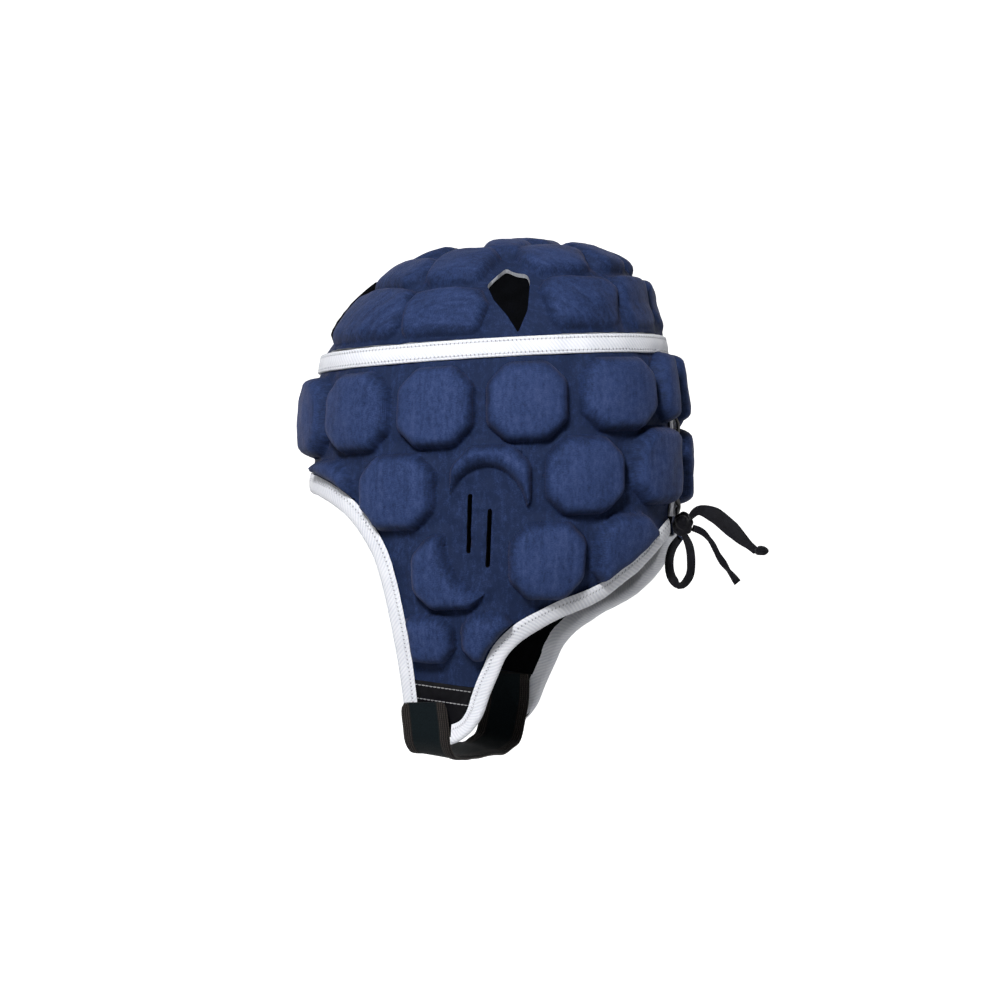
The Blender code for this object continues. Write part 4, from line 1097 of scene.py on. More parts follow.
def leather():
    """Smooth black coated tab with a fine grain."""
    material, tree, shader, mm = cloth("black_coated_tab", 0.38, 0.14)
    cells = add_node(tree, "ShaderNodeTexVoronoi", {"Vector": mm, "Scale": 1.3}, feature="DISTANCE_TO_EDGE")
    soft = noise(tree, mm, 0.25, rough=0.5)
    colour = ramp(tree, soft, (0.3, (0.002, 0.002, 0.003)), (0.7, (0.006, 0.006, 0.008)))
    finished(tree, shader, colour, weighted(tree, (cells.outputs[0], 1.0), (soft, 1.5)), 0.00025, 0.5)
    return material


def thread(name, colour):
    """Twisted sewing thread."""
    material, tree, shader, mm = cloth(name, 0.6)
    twist = bands(tree, stretched(tree, mm, 1.0, 1.0, 0.6), 1.2)
    dark = tuple(c * 0.7 for c in colour)
    finished(tree, shader, ramp(tree, twist, (0.2, dark), (0.8, colour)), twist, 0.0001, 0.5)
    return material


def foam():
    """Pale grey cut foam."""
    material, tree, shader, mm = cloth("grey_foam", 0.9)
    cells = noise(tree, mm, 2.4, detail=4.0, rough=0.8)
    colour = ramp(tree, cells, (0.35, (0.23, 0.24, 0.27)), (0.65, (0.52, 0.54, 0.58)))
    finished(tree, shader, colour, cells, 0.0003, 0.7)
    return material


JERSEY = navy_jersey()
TAPE = twill("white_twill_tape", ((7.4, 2.05),))
BAND_TAPE = twill("white_band_tape", ((1.7, 2.2), (BAND_WIDTH * 1000 - 1.6, 2.2)))
# Black lining, partly its own black and partly painted shade: its colour sits far below a real black cloth so
# that the vents and openings read as dark as shade
BLACK_LINING_AND_SHADE = dark_cloth(
    "black_lining_painted_shade", (0.0002, 0.0003, 0.0005), (0.0020, 0.0024, 0.0036), 0.9, 1.2, 1.2, 0.7, 0.0,
)
RIBBON = dark_cloth(
    "black_lace_ribbon", (0.002, 0.002, 0.003), (0.010, 0.010, 0.014), 0.5, 0.5, 3.0, 0.6, 0.10,
)
WEBBING = strap_webbing()
LEATHER = leather()
WHITE_THREAD = thread("white_thread", (0.66, 0.67, 0.73))
GREY_THREAD = thread("grey_thread", (0.42, 0.42, 0.44))
FOAM = foam()


# Camera


def make_camera():
    """The camera at the photograph's bearing, level with the cap's middle."""
    back = Vector((math.sin(CAMERA_AZIMUTH), -math.cos(CAMERA_AZIMUTH), 0.0))
    right = Vector((math.cos(CAMERA_AZIMUTH), math.sin(CAMERA_AZIMUTH), 0.0))
    target = Vector((0.0, 0.0, LOOK_HEIGHT)) + right * LOOK_RIGHT
    data = bpy.data.cameras.new("camera")
    data.sensor_width = 36.0
    data.lens = 36.0 * CAMERA_DISTANCE / (PIXEL * 1000)
    data.clip_end = 20.0
    camera = bpy.data.objects.new("camera", data)
    camera.location = target + back * CAMERA_DISTANCE
    camera.rotation_mode = "QUATERNION"
    camera.rotation_quaternion = (-back).to_track_quat("-Z", "Y")
    bpy.context.scene.collection.objects.link(camera)
    bpy.context.scene.camera = camera
    return back, right


VIEW_BACK, VIEW_RIGHT = make_camera()


# The bow: a hanging loop and two tails of flat lace, and the knot that they leave


def ribbon(name, route, widths, facing, thickness=0.0007, step=0.0016):
    """A flat lace along a route, with its width and the way that its face looks at shares of it."""
    line = smooth_line(np.array(route), step)
    share = np.linspace(0, 1, len(line))
    way = np.gradient(line, axis=0)
    way = units(way)
    half = np.interp(share, *np.array(widths, dtype=float).T) / 2
    turns = np.array([row[0] for row in facing])
    look = np.stack([np.interp(share, turns, [row[1][k] for row in facing]) for k in range(3)], axis=-1)
    wide = np.cross(way, look)
    wide = units(wide)
    out = np.cross(wide, way)
    distance = way_along(line)
    crimp = waves_along(distance, 6, 0.012, 5) * 0.0004
    rings = []
    uvs = []
    for across, up in RIBBON_SECTION:
        curl = 0.0006 * across**2
        lift = up * thickness + curl + crimp * across
        rings.append(line + wide * (half * across)[:, None] + out * lift[:, None])
        uvs.append(np.stack([distance, half * across * (1 if up >= 0 else 2)], axis=-1))
    return ringed_piece(name, rings, uvs, RIBBON), line, float(distance[-1])


def blob(name, centre, sizes, seed, detail=4):
    """A small knotted lump of lace with folds wound round it."""
    built = bmesh.new()
    bmesh.ops.create_icosphere(built, subdivisions=detail, radius=0.5)
    co = np.array([tuple(v.co) for v in built.verts]) * 2
    turn = np.arctan2(co[:, 2], co[:, 1])
    swirl = np.sin(3.0 * co[:, 0] * 2.2 + 1.6 * np.sin(turn) + seed)
    folds = np.sin(4.0 * (co[:, 1] * 0.8 + co[:, 2]) * 1.6 + 1.9 * co[:, 0] + 2 * seed)
    swell = 1 + 0.09 * swirl + 0.06 * folds + 0.03 * np.sin(9 * co[:, 2] + 5 * co[:, 0])
    places = co / 2 * swell[:, None] * np.array(sizes) + np.array(centre)
    faces = [tuple(v.index for v in f.verts) for f in built.faces]
    uv = np.stack([turn * 0.004, co[:, 0] * sizes[0] / 2], axis=-1)
    built.free()
    return new_piece(name, places, faces, [RIBBON], uv)


place(blob("bow_knot", KNOT_PLACE, KNOT_SIZE, 0.7), "black_lace", "lace_knot")
BACK = tuple(VIEW_BACK)
loop, loop_line, loop_length = ribbon(
    "bow_loop", LACE_ROUTES["lace_loop"],
    ((0, 0.0034), (0.12, 0.0046), (0.5, 0.0050), (0.88, 0.0046), (1, 0.0034)),
    ((0.0, BACK), (0.35, (0.85, 0.5, 0.1)), (0.5, (0.75, 0.35, -0.55)), (0.7, (0.9, 0.0, 0.2)), (1.0, BACK)),
)
tail_long, long_line, long_length = ribbon(
    "bow_tail_long", LACE_ROUTES["lace_tail_long"],
    (
        (0, 0.0040), (0.14, 0.0056), (0.35, 0.0086), (0.62, 0.0088),
        (0.80, 0.0062), (0.90, 0.0044), (1, 0.0040),
    ),
    ((0.0, (0.8, -0.2, 0.6)), (0.3, (0.93, 0.25, 0.2)), (0.7, (0.9, 0.1, 0.35)), (1.0, (0.96, 0.2, 0.1))),
)
tail_short, short_line, short_length = ribbon(
    "bow_tail_short", LACE_ROUTES["lace_tail_short"],
    ((0, 0.0036), (0.2, 0.0042), (0.5, 0.0030), (0.7, 0.0044), (0.88, 0.0036), (1, 0.0042)),
    ((0.0, BACK), (0.3, (0.5, 0.5, 0.7)), (0.55, (0.98, -0.1, 0.1)), (0.8, (0.4, 0.6, 0.6)), (1.0, BACK)),
)
long_end = blob(
    "bow_tail_long_end", long_line[-1] + np.array([0.0004, 0.0028, 0.0004]), (0.0046, 0.0072, 0.0050), 2.1, 3,
)
for piece, line, length, node, far_end, more in (
    (loop, loop_line, loop_length, "lace_loop", "object", []),
    (tail_long, long_line, long_length, "lace_tail_long", "knot", [long_end]),
    (tail_short, short_line, short_length, "lace_tail_short", "bare", []),
):
    place(piece, "black_lace", node)
place(long_end, "black_lace")


# Panels


def side_depths(outline):
    """Depth inside the nearest pad anywhere on the side panel, and each pad's middle and reach."""
    ear, ear_half = side_lengths(EAR_PATCH).reshape(2, 2)
    keep_off = BINDING_WIDTH - EDGE_INSET + PAD_GAP / 3
    pads = []
    for table, signs in ((MIDDLE_PADS, (1,)), (SIDE_PADS, (1, -1))):
        for row in rows(table, PAD_COLUMNS):
            for sign in signs:
                centre = np.array([sign * row["round"] * HALF_ROUND, row["drop"] * PANEL_DROP])
                half = np.array([row["half_round"] * HALF_ROUND, row["half_drop"] * PANEL_DROP]) - PAD_GAP / 2
                if row["round"] > GAP_PAD_FROM:
                    centre[0] += sign * GAP_PAD_REACH / 2
                    half[0] += GAP_PAD_REACH / 2
                pads.append((centre, half, row["round"] > WHOLE_PAD_FROM))

    def depth(points, which=pads):
        local = np.stack([np.abs(points[..., 0]), points[..., 1]], axis=-1)
        oval = (np.hypot(*np.moveaxis((local - ear) / ear_half, -1, 0)) - 1) * ear_half.min() - PAD_GAP / 2
        hem = chunked_distance(points, outline) - keep_off
        half_gap = GAP_TOP / 2 + (GAP_FOOT - GAP_TOP) * points[..., 1] / PANEL_DROP
        gap = HALF_ROUND - half_gap - GAP_TAPE - 0.0004 - np.abs(points[..., 0])
        at_gap = (np.abs(points[..., 0]) > 0.86 * HALF_ROUND) & (points[..., 1] < 0.44 * PANEL_DROP)
        limit = np.where(at_gap, gap, hem)
        inside = []
        for centre, half, whole in which:
            pad = octagon_depth(points, centre, half)
            inside.append(pad if whole else np.minimum(pad, oval))
        return np.minimum(np.max(inside, axis=0), limit)

    return depth, [(pad[0], pad[1] + PAD_MARGIN, pad) for pad in pads]


def crown_depths(vents):
    """Depth inside the nearest pad anywhere on the crown, and each pad's middle and reach."""
    pads = []
    for table, signs in ((CROWN_MIDDLE_PADS, (1,)), (CROWN_SIDE_PADS, (1, -1))):
        for row in rows(table, CROWN_PAD_COLUMNS):
            for sign in signs:
                turn = sign * math.radians(row["azimuth"])
                centre = np.array([math.sin(turn), -math.cos(turn)]) * row["reach"] * CROWN_RADIUS
                half = np.array([row["half_across"], row["half_reach"]]) * CROWN_RADIUS - PAD_GAP / 2
                pads.append((centre, half + CROWN_PAD_SPREAD, turn))

    def depth(points, which=pads):
        limit = CROWN_RADIUS * CROWN_PAD_LIMIT - np.linalg.norm(points, axis=-1)
        for vent in vents:
            limit = np.minimum(limit, -chunked_distance(points, vent) - VENT_MARGIN)
        inside = np.max([octagon_depth(points, *pad, CROWN_CORNER_SHARE) for pad in which], axis=0)
        return np.minimum(inside, limit)

    return depth, [(pad[0], np.full(2, np.max(pad[1]) * 1.05) + PAD_MARGIN, pad) for pad in pads]


def crown_share(points):
    """The share of their height that crown pads keep, which falls to the back."""
    back = (points[..., 1] / CROWN_RADIUS - CROWN_BACK_FROM) / CROWN_BACK_RUN
    return 1 - CROWN_BACK_LOSS * smooth_step(back)


def quilted_height(depth_of, rise, seed, fillet, share_of=lambda points: 1.0):
    """Height of the stretched jersey over pads and the creases between them."""

    def height(points):
        depth = depth_of(points)
        share = np.clip(depth / STRETCHED_SHOULDER, 0.0, 1.0)
        profile = np.clip(1 - (1 - share) ** PAD_ROUNDNESS, 0.0, 1.0) ** 0.8
        uneven = (1 + PAD_UNEVEN * waves(points, 5, 0.070, seed)) * share_of(points)
        top = (rise * uneven - fillet) * profile
        swell = PAD_SWELL * smooth_step((depth - 0.006) / 0.012)
        lip = RIM_LIP * np.exp(-((depth + 0.0012) / 0.0006) ** 2)
        sag = -VALLEY_SAG * smooth_step((-depth - 0.0012) / 0.004)
        sag = sag + fillet * np.exp(np.minimum(depth, 0.0) / 0.0014)
        creases = TOP_CREASE * waves(points * [1.0, 0.32], 9, 0.0055, seed + 1)
        creases = creases * smooth_step((depth - 0.004) / 0.005)
        slack = SLACK_FOLD * waves(points, 9, 0.016, seed + 2)
        fine = SLACK_CREASE * waves(points, 11, 0.0075, seed + 3) * smooth_step((0.0005 - depth) / 0.002)
        return SHEET + top + swell + lip + sag + creases + (slack + fine)

    return height


def fine_points(outline, holes, depth_of, pads):
    """Lines round every pad and free points between and inside them."""
    clear = region(outline, holes, 0.0006)
    kept = []
    for middle, reach, pad in pads:
        for line in contours(lambda points, pad=pad: depth_of(points, [pad]), middle, reach, FINE_LEVELS):
            kept.append(line[clear(line)])
    valley = inside_grid(outline, holes, VALLEY_STEP, 0.0012)
    centre = inside_grid(outline, holes, CENTRE_STEP, 0.0012)
    low = depth_of(valley) < FINE_LEVELS[0][0] - VALLEY_STEP * 0.45
    high = depth_of(centre) > FINE_LEVELS[-1][0] + CENTRE_STEP * 0.55
    return np.vstack(kept + [valley[low], centre[high]])


def rounded_slots():
    """The ear slots of both sides with round ends and close points."""
    outlines = []
    for ends in EAR_SLOTS:
        top, foot = side_lengths(ends)
        way = (foot - top) / np.linalg.norm(foot - top)
        base = math.atan2(way[1], way[0])
        turns = base + np.radians([-90, -50, 0, 50, 90])
        arc = np.stack([np.cos(turns), np.sin(turns)], axis=-1) * SLOT_WIDTH / 2
        outline = even_line(np.vstack([foot + arc, top - arc]), 0.0013, closed=True)
        outlines.append(outline)
        outlines.append(mirrored(outline[::-1]))
    return outlines


def rounded_vents():
    """The crown vents with softened corners and close points."""
    outlines = []
    for vent in vent_outlines():
        line = even_line(vent, 0.0010, closed=True)
        for _ in range(3):
            line = (np.roll(line, 1, axis=0) + 2 * line + np.roll(line, -1, axis=0)) / 4
        outlines.append(even_line(line, 0.0014, closed=True))
    return outlines


SIDE_OUTLINE = side_panel_outline(EDGE_INSET, SEAM_OVERLAP, 0.006)
SLOTS = rounded_slots()
side_depth, side_pad_list = side_depths(side_panel_outline(EDGE_INSET, SEAM_OVERLAP, 0.0088))
side_points = fine_points(SIDE_OUTLINE, SLOTS, side_depth, side_pad_list)


def ear_creases(points):
    """Slack cloth round the ear slots: shallow folds that fan out from their ends."""
    local = np.stack([np.abs(points[..., 0]), points[..., 1]], axis=-1)
    total = np.zeros(points.shape[:-1])
    for ends in EAR_SLOTS:
        top, foot = side_lengths(ends)
        for end, turn in ((top, -0.9), (foot, 0.8), ((top + foot) / 2, 0.1)):
            offset = local - end
            reach = np.linalg.norm(offset, axis=-1)
            angle = np.arctan2(offset[..., 1], offset[..., 0]) + turn
            total += np.cos(5 * angle) * np.exp(-((reach - 0.006) / 0.006) ** 2)
        run = (foot - top) / np.linalg.norm(foot - top)
        offset = local - top
        along = offset @ run
        across = np.abs(offset[..., 0] * run[1] - offset[..., 1] * run[0])
        near = (along > 0) & (along < np.linalg.norm(foot - top))
        total += np.where(near, -0.9 * np.exp(-(across / 0.0026) ** 2), 0.0)
    return total * EAR_FOLD


side_top = quilted_height(side_depth, PAD_RISE * STRETCHED_RISE, 11, SIDE_FILLET)
side = fine_panel(
    "side_panel_cover", side_wrap, SIDE_OUTLINE, SLOTS, side_points,
    lambda p: side_top(p) + ear_creases(p), 0.007, [JERSEY, BLACK_LINING_AND_SHADE],
)
# Share for the painted valley shade on the side panel
paint_valley_shade(side, side_depth, 1.0)
place(side, "navy_jersey", "side_panel")

CROWN_OUTLINE = disc_outline(CROWN_RADIUS - SEAM_OVERLAP, 0.004)
VENTS = rounded_vents()
crown_depth, crown_pad_list = crown_depths(vent_outlines())
crown_points = fine_points(CROWN_OUTLINE, VENTS, crown_depth, crown_pad_list)
crown_top = quilted_height(crown_depth, CROWN_PAD_RISE, 23, CROWN_FILLET, crown_share)
crown = fine_panel(
    "crown_cover", crown_wrap, CROWN_OUTLINE, VENTS, crown_points, crown_top, 0.007, [JERSEY, FOAM],
)
# Share for the painted valley shade on the crown, where the pads keep a little painted shade
paint_valley_shade(crown, crown_depth, CROWN_UNSHADED_SHARE)
place(crown, "navy_jersey", "crown_panel")


# Linings


def lining_base(depth_of):
    """Inner face of a lining, which swells a little over the pads behind it."""

    def base(points):
        depth = depth_of(points)
        swell = smooth_step((depth + 0.001) / 0.006)
        return -LINING_GAP - LINING - LINING_SWELL * swell - LINING_WAVE * waves(points, 7, 0.018, 41)

    return base


LINING_OUTLINE = side_panel_outline(BINDING_WIDTH - 0.0006, SEAM_OVERLAP, 0.006)


def lining(name, wrap, outline, holes, points, top, base_of, node):
    """A thin lining with a finely modelled inner face."""
    inner, inner_faces = triangulate([outline] + holes, points, region(outline, holes))
    places = np.vstack([wrap(inner, top(inner)), wrap(inner, base_of(inner))])
    shift = len(inner)
    faces = inner_faces + [tuple(k + shift for k in reversed(face)) for face in inner_faces]
    faces.extend((two, one, one + shift, two + shift) for one, two in boundary_edges(inner_faces))
    piece = new_piece(name, places, faces, [BLACK_LINING_AND_SHADE], np.vstack([inner, inner]))
    return place(piece, "black_lining", node)


lining(
    "side_lining_cloth", side_wrap, LINING_OUTLINE, SLOTS, inside_grid(LINING_OUTLINE, SLOTS, 0.0034, 0.0016),
    lambda p: np.full(len(p), -LINING_GAP), lining_base(side_depth), "side_lining",
)


def vent_bulge(points):
    """How far the lining stands up in the vents: proud in front, slack at the sides."""
    front = chunked_distance(points, VENTS[0])
    rise = np.where(front > 0, smooth_step((front + 0.0008) / 0.0060) * FRONT_VENT_RISE, 0.0)
    for vent in VENTS[1:]:
        deep = chunked_distance(points, vent)
        rise = rise + np.where(deep > 0, smooth_step(deep / 0.006) * -SIDE_VENT_SAG, 0.0)
    return rise


crown_base = lining_base(crown_depth)
# The crown lining runs on under the vents with no holes, a near-black sheet that stands in for the shaded
# inside of the cap: painted shade
lining("crown_lining_cloth", crown_wrap, CROWN_OUTLINE, [], inside_grid(CROWN_OUTLINE, [], 0.0028, 0.0016),
       lambda p: -LINING_GAP + vent_bulge(p), lambda p: crown_base(p) + vent_bulge(p), "crown_lining")


# Tapes, their stitches and the tabs


def strip(name, wrap, line, section, uv_ways, material, node, ripple, closed=False):
    """A white tape along a flat line with a section of (way in, height) points, gently uneven along it."""
    line = np.asarray(line, dtype=float)
    normals = side_normals(line)
    distance = way_along(line)
    uneven = waves_along(distance, 8, 0.020, 7)
    fine = waves_along(distance, 8, 0.0045, 9)
    rings = []
    uvs = []
    for (way, height), uv_way in zip(section, uv_ways):
        lift = np.sign(height + 1e-9) * (ripple * uneven + 0.4 * ripple * fine)
        rings.append(wrap(line + normals * (way + 0.6 * ripple * uneven)[:, None], height + lift))
        uvs.append(np.stack([distance, np.full(len(line), uv_way)], axis=-1))
    piece = ringed_piece(name, rings, uvs, material, closed)
    piece.data.set_sharp_from_angle(angle=math.radians(65))
    return place(piece, "white_twill", node)


def fold_section(width):
    """A soft tape folded over an edge: outer leg, rounded fold and inner leg, with its pattern ways."""
    top = SHEET + 2 * CLEAR
    high = top + BINDING_CLOTH
    low = -FOLD_GAP
    deep = low - BINDING_CLOTH
    outer = [(width, top + 0.0002), (width + 0.0002, high - 0.0004), (width - 0.0007, high - 0.0001)]
    for share in (0.80, 0.66, 0.52, 0.38, 0.26):
        outer.append((width * share, high + 0.00035 * math.sin(math.pi * share)))
    middle = (high + deep) / 2
    reach = (high - deep) / 2
    for turn in (68, 42, 16, -12, -40, -66):
        angle = math.radians(turn)
        outer.append((0.0021 - 0.0023 * math.cos(angle), middle + reach * math.sin(angle)))
    for share in (0.30, 0.55, 0.80):
        outer.append((width * share, deep))
    outer.extend([(width, deep + 0.0003), (width, low), (BINDING_CLOTH, low), (BINDING_CLOTH, top)])
    ways = [0.0]
    for (a, b), (c, d) in zip(outer, outer[1:]):
        ways.append(ways[-1] + math.hypot(c - a, d - b))
    ways = [width - w for w in ways]
    return outer, ways


def stitch_row(name, wrap, line, way, height, stitch, material=WHITE_THREAD, slot_name="white_twill"):
    """A row of sewn stitches: short rounded threads end to end along a tape."""
    pitch, length, radius = stitch
    even = even_line(line, pitch / 4)
    normals = side_normals(even)
    middle = wrap(even + normals * way, height)
    outer = wrap(even + normals * way, height + 0.001)
    places = []
    faces = []
    uvs = []
    sides = 6
    steps = ((-0.5, 0.35, -0.9), (-0.34, 0.9, 0.1), (0.0, 1.0, 0.42), (0.34, 0.9, 0.1), (0.5, 0.35, -0.9))
    for k in range(2, len(even) - 2, 4):
        axis = middle[k + 1] - middle[k - 1]
        axis /= np.linalg.norm(axis)
        up = outer[k] - middle[k]
        up /= np.linalg.norm(up)
        side_way = np.cross(axis, up)
        start = len(places)
        for share, size, rise in steps:
            centre = middle[k] + axis * share * length + up * rise * radius
            for m in range(sides):
                a = 2 * math.pi * m / sides
                places.append(centre + (side_way * math.cos(a) + up * math.sin(a)) * radius * size)
                uvs.append((share * length, a * radius))
        for ring in range(len(steps) - 1):
            for m in range(sides):
                n = (m + 1) % sides
                a = start + ring * sides
                faces.append((a + m, a + n, a + sides + n, a + sides + m))
        faces.append(tuple(start + m for m in reversed(range(sides))))
        faces.append(tuple(start + (len(steps) - 1) * sides + m for m in range(sides)))
    place(new_piece(name, places, faces, [material], np.array(uvs)), slot_name)


band_turn = np.linspace(-HALF_ROUND, HALF_ROUND, 421)[:-1]
band_line = np.stack([band_turn, np.full(len(band_turn), BAND_DROP)], axis=-1)
band_low = SHEET + CLEAR * 0.5
band_ways = [way for way, rise in BAND_SECTION]
band_section = [(way, band_low + rise) for way, rise in BAND_SECTION]
strip("crown_band_tape", side_wrap, band_line, band_section, band_ways, BAND_TAPE, "crown_band", BAND_RIPPLE,
      closed=True)
for row, way in (("top", 0.0017), ("foot", BAND_WIDTH - 0.0016)):
    stitch_row("crown_band_stitches_" + row, side_wrap, band_line, way, band_low + 0.00082, BAND_STITCH)

outer_leg = SHEET + 2 * CLEAR + BINDING_CLOTH
front_line = front_hem_line(FINE_HEM)
section, ways = fold_section(BINDING_WIDTH)
strip("front_binding_tape", side_wrap, front_line, section, ways, TAPE, "front_binding", TAPE_RIPPLE)
stitch_row("front_binding_stitches", side_wrap, front_line, STITCH_WAY, outer_leg + 0.00015, HEM_STITCH)
rear_line = rear_hem_line(FINE_HEM)
curl_start = rear_line[:, 1].max() - CURL_LENGTH


def curled_wrap(pattern, height):
    """The side wrap with the foot of a rear tape bent forward over the strap."""
    share = np.clip((pattern[..., 1] - curl_start) / CURL_LENGTH, 0.0, 1.0) ** 2
    forward = -np.sign(pattern[..., 0]) * CURL_FORWARD * share
    bent = np.stack([pattern[..., 0] + forward, pattern[..., 1]], axis=-1)
    return side_wrap(bent, height + CURL_LIFT * share)


for side_name, line, gap in (
    ("left", rear_line, gap_line(FINE_HEM)),
    ("right", mirrored(rear_line[::-1]), mirrored(gap_line(FINE_HEM)[::-1])),
):
    strip("rear_binding_tape_" + side_name, curled_wrap, line, section, ways, TAPE,
          "rear_binding_" + side_name, TAPE_RIPPLE)
    stitch_row("rear_binding_stitches_" + side_name, curled_wrap, line, STITCH_WAY, outer_leg + 0.00015,
               HEM_STITCH)
    strip("gap_binding_tape_" + side_name, side_wrap, gap, *fold_section(GAP_TAPE), TAPE,
          "gap_binding_" + side_name, GAP_RIPPLE)


def chin_tab(name, outline, node):
    """The coated tab below the panel: a thin padded sheet with a pressed edge."""
    def top(points):
        depth = chunked_distance(points, outline)
        return TAB_SHEET - 0.0010 + 0.0010 * smooth_step(depth / 0.003) + 0.00012 * waves(points, 7, 0.012, 3)

    grid = inside_grid(outline, [], 0.0022, 0.0008)
    return place(fine_panel(name, side_wrap, outline, [], grid, top, 0.005, [LEATHER]), "black_webbing", node)


TAB_OUTLINE = tab_outline(EDGE_INSET, 0.003)
TAB_OUTLINE[:, 1] -= 0.0022 * smooth_step((foot_drop(TAB_OUTLINE[:, 0]) + 0.0030 - TAB_OUTLINE[:, 1]) / 0.002)
chin_tab("chin_tab_cover_left", TAB_OUTLINE, "chin_tab_left")
chin_tab("chin_tab_cover_right", mirrored(TAB_OUTLINE[::-1]), "chin_tab_right")

for sign, side_name in ((1, "left"), (-1, "right")):
    for row, drop in (("top", 0.0022), ("foot", 0.0096)):
        lengths = np.linspace(0.378, 0.527, 40) * HALF_ROUND
        stitch_line = np.stack([lengths, foot_drop(lengths) + drop], axis=-1)
        if sign < 0:
            stitch_line = mirrored(stitch_line[::-1])
        name = "chin_tab_stitches_" + row + "_" + side_name
        stitch_row(name, side_wrap, stitch_line, 0.0, TAB_SHEET + 0.0002, TAB_STITCH, GREY_THREAD,
                   "black_webbing")


# Chin strap


def make_strap():
    """The strap: selvages a little thicker than its middle, its near end rounded."""
    line, wide, out = strap_frames(0.0022)
    distance = way_along(line)
    half = np.full(len(line), STRAP_WIDTH / 2)
    near = np.clip(distance / 0.006, 0.0, 1.0)
    far = np.clip((distance[-1] - distance) / 0.004, 0.0, 1.0)
    half *= 0.84 + 0.16 * np.sqrt(np.clip(1 - (1 - near) ** 2, 0, 1))
    half *= 0.94 + 0.06 * far
    across = np.array([-share for share in reversed(STRAP_PLACES)] + list(STRAP_PLACES[1:]))
    selvage = np.cos(np.clip((np.abs(across) - 0.79) / 0.21, -1, 1) * math.pi / 2)
    relief = np.where(np.abs(across) > SELVAGE_FROM, SELVAGE_RISE * selvage, 0.0)
    wave = 0.0005 * waves_along(distance, 6, 0.030, 15)
    thick = STRAP_THICK * (0.5 - 0.35 * np.maximum(0.0, np.abs(across) - STRAP_EDGE) / 0.07)
    outer = list(zip(across, thick + relief - 0.0002))
    inner = list(zip(across, 0.0001 - thick))
    rings = []
    uvs = []
    for share, up in outer + inner[::-1]:
        lift = up + wave * share**2
        rings.append(line + wide * (half * share)[:, None] + out * lift[:, None])
        uvs.append(np.stack([distance, half * share], axis=-1))
    piece = ringed_piece("chin_strap_webbing", rings, uvs, WEBBING)
    piece.data.set_sharp_from_angle(angle=math.radians(60))
    return place(piece, "black_webbing", "chin_strap")


make_strap()


# Lacing over the gap


def make_lacing():
    """Flat lace in a zigzag, slightly cupped and lifted where it crosses the tapes' edges."""
    turn_in = GAP_TAPE * LACE_REACH
    high = SHEET + 4 * CLEAR + BINDING_CLOTH
    sides, drops = np.array(LACE_CROSSINGS, dtype=float).T
    corners = np.stack([sides * (GAP_FOOT / 2 + turn_in) + HALF_ROUND, drops * PANEL_DROP], axis=-1)
    line = even_line(corners, 0.0012)
    for _ in range(2):
        line[1:-1] = (line[:-2] + 2 * line[1:-1] + line[2:]) / 4
    normals = side_normals(line)
    distance = way_along(line)
    twist = 0.00045 * waves_along(distance, 7, 0.016, 31)
    off = np.abs(line[:, 0] - HALF_ROUND)
    dip = 0.0006 * smooth_step((0.004 - off) / 0.004)
    rings = []
    uvs = []
    half = LACE_WIDTH / 2
    for share, up in LACING_SECTION:
        lift = high + LACE_THICK * up - dip + twist * share + 0.0003
        rings.append(side_wrap(line + normals * (half * share), lift))
        uvs.append(np.stack([distance, np.full(len(line), half * share)], axis=-1))
    return place(ringed_piece("gap_lacing", rings, uvs, RIBBON), "black_lace", "lacing")


make_lacing()


# Stage: a pale floor that sweeps up behind, and soft studio light


FLOOR_HEIGHT = -0.46
SWEEP = 0.9
WORLD_LIGHT = 0.055
LIGHT_SPREAD = math.radians(50)


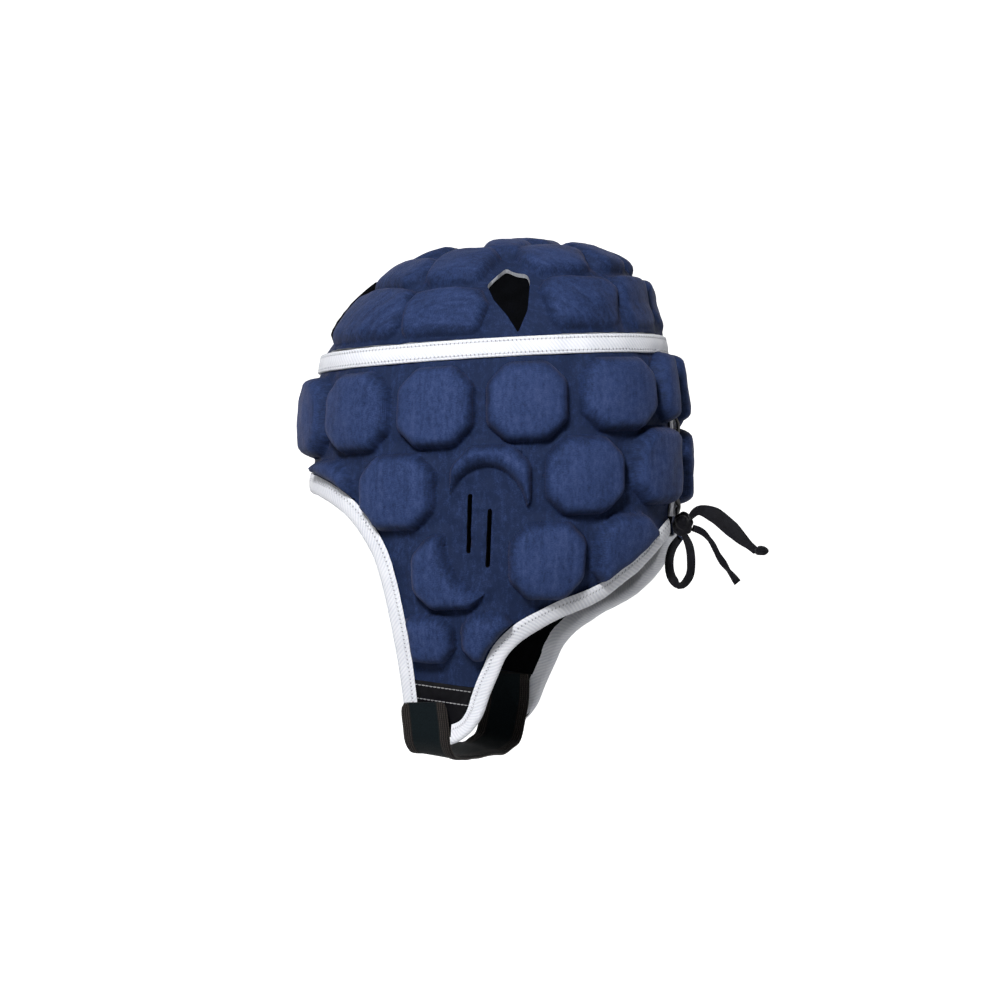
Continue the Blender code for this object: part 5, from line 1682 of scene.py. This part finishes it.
def make_stage():
    """Pale floor in one sweep with a lit backdrop, a wide soft light above and fills beside it."""
    back = np.array(VIEW_BACK)[:2]
    right = np.array(VIEW_RIGHT)[:2]
    profile = [(depth, FLOOR_HEIGHT) for depth in (3.0, 0.0, -0.25, -0.9, -1.6)]
    for turn in np.radians(np.linspace(0, 90, 13)):
        profile.append((-1.6 - SWEEP * math.sin(turn), FLOOR_HEIGHT + SWEEP * (1 - math.cos(turn))))
    profile.append((-2.5, 4.0))
    places = []
    for depth, height in profile:
        for across in (-5.0, 5.0):
            spot = back * depth + right * across
            places.append((spot[0], spot[1], height))
    faces = [(2 * k, 2 * k + 1, 2 * k + 3, 2 * k + 2) for k in range(len(profile) - 1)]
    mesh = bpy.data.meshes.new("floor")
    mesh.from_pydata(places, [], faces)
    mesh.shade_smooth()
    floor = bpy.data.objects.new("floor", mesh)
    bpy.context.scene.collection.objects.link(floor)
    material = bpy.data.materials.new("pale_floor")
    material.use_nodes = True
    tree = material.node_tree
    shader = tree.nodes["Principled BSDF"]
    shader.inputs["Base Color"].default_value = (0.78, 0.78, 0.78, 1.0)
    shader.inputs["Roughness"].default_value = 0.9
    shader.inputs["Specular IOR Level"].default_value = 0.0
    shader.inputs["Emission Color"].default_value = (1.0, 1.0, 1.0, 1.0)
    spot = add_node(tree, "ShaderNodeTexCoord").outputs["Object"]
    toward = add_node(
        tree, "ShaderNodeVectorMath", {0: spot, 1: (back[0], back[1], 0.0)}, operation="DOT_PRODUCT",
    )
    far = add_node(tree, "ShaderNodeMapRange", {
        "Value": toward.outputs["Value"], "From Min": -0.10, "From Max": -0.45,
        "To Min": 0.08, "To Max": 0.95,
    })
    tree.links.new(far.outputs[0], shader.inputs["Emission Strength"])
    mesh.materials.append(material)
    world = bpy.data.worlds.new("studio")
    world.use_nodes = True
    world.node_tree.nodes["Background"].inputs["Color"].default_value = (1.0, 1.0, 1.0, 1.0)
    world.node_tree.nodes["Background"].inputs["Strength"].default_value = WORLD_LIGHT
    bpy.context.scene.world = world
    bpy.context.scene.view_settings.view_transform = "Standard"
    middle = np.array([0.0, 0.0, -0.13])
    for name, (toward, across, rise), size, power in (
        ("top_light", (0.20, -0.10, 1.40), 0.50, 0.12),
        ("key_light", (1.36, -0.30, 0.74), 0.34, 2.35),
        ("front_light", (1.00, -1.30, 0.25), 0.60, 0.14),
        ("side_light", (0.80, 1.40, 0.30), 0.60, 0.14),
    ):
        data = bpy.data.lights.new(name, "AREA")
        data.shape = "DISK"
        data.size = size
        data.energy = power
        data.spread = LIGHT_SPREAD
        light = bpy.data.objects.new(name, data)
        spot = middle + np.append(back * toward + right * across, rise)
        light.location = spot
        light.rotation_mode = "QUATERNION"
        light.rotation_quaternion = Vector(middle - spot).to_track_quat("-Z", "Y")
        bpy.context.scene.collection.objects.link(light)


make_stage()
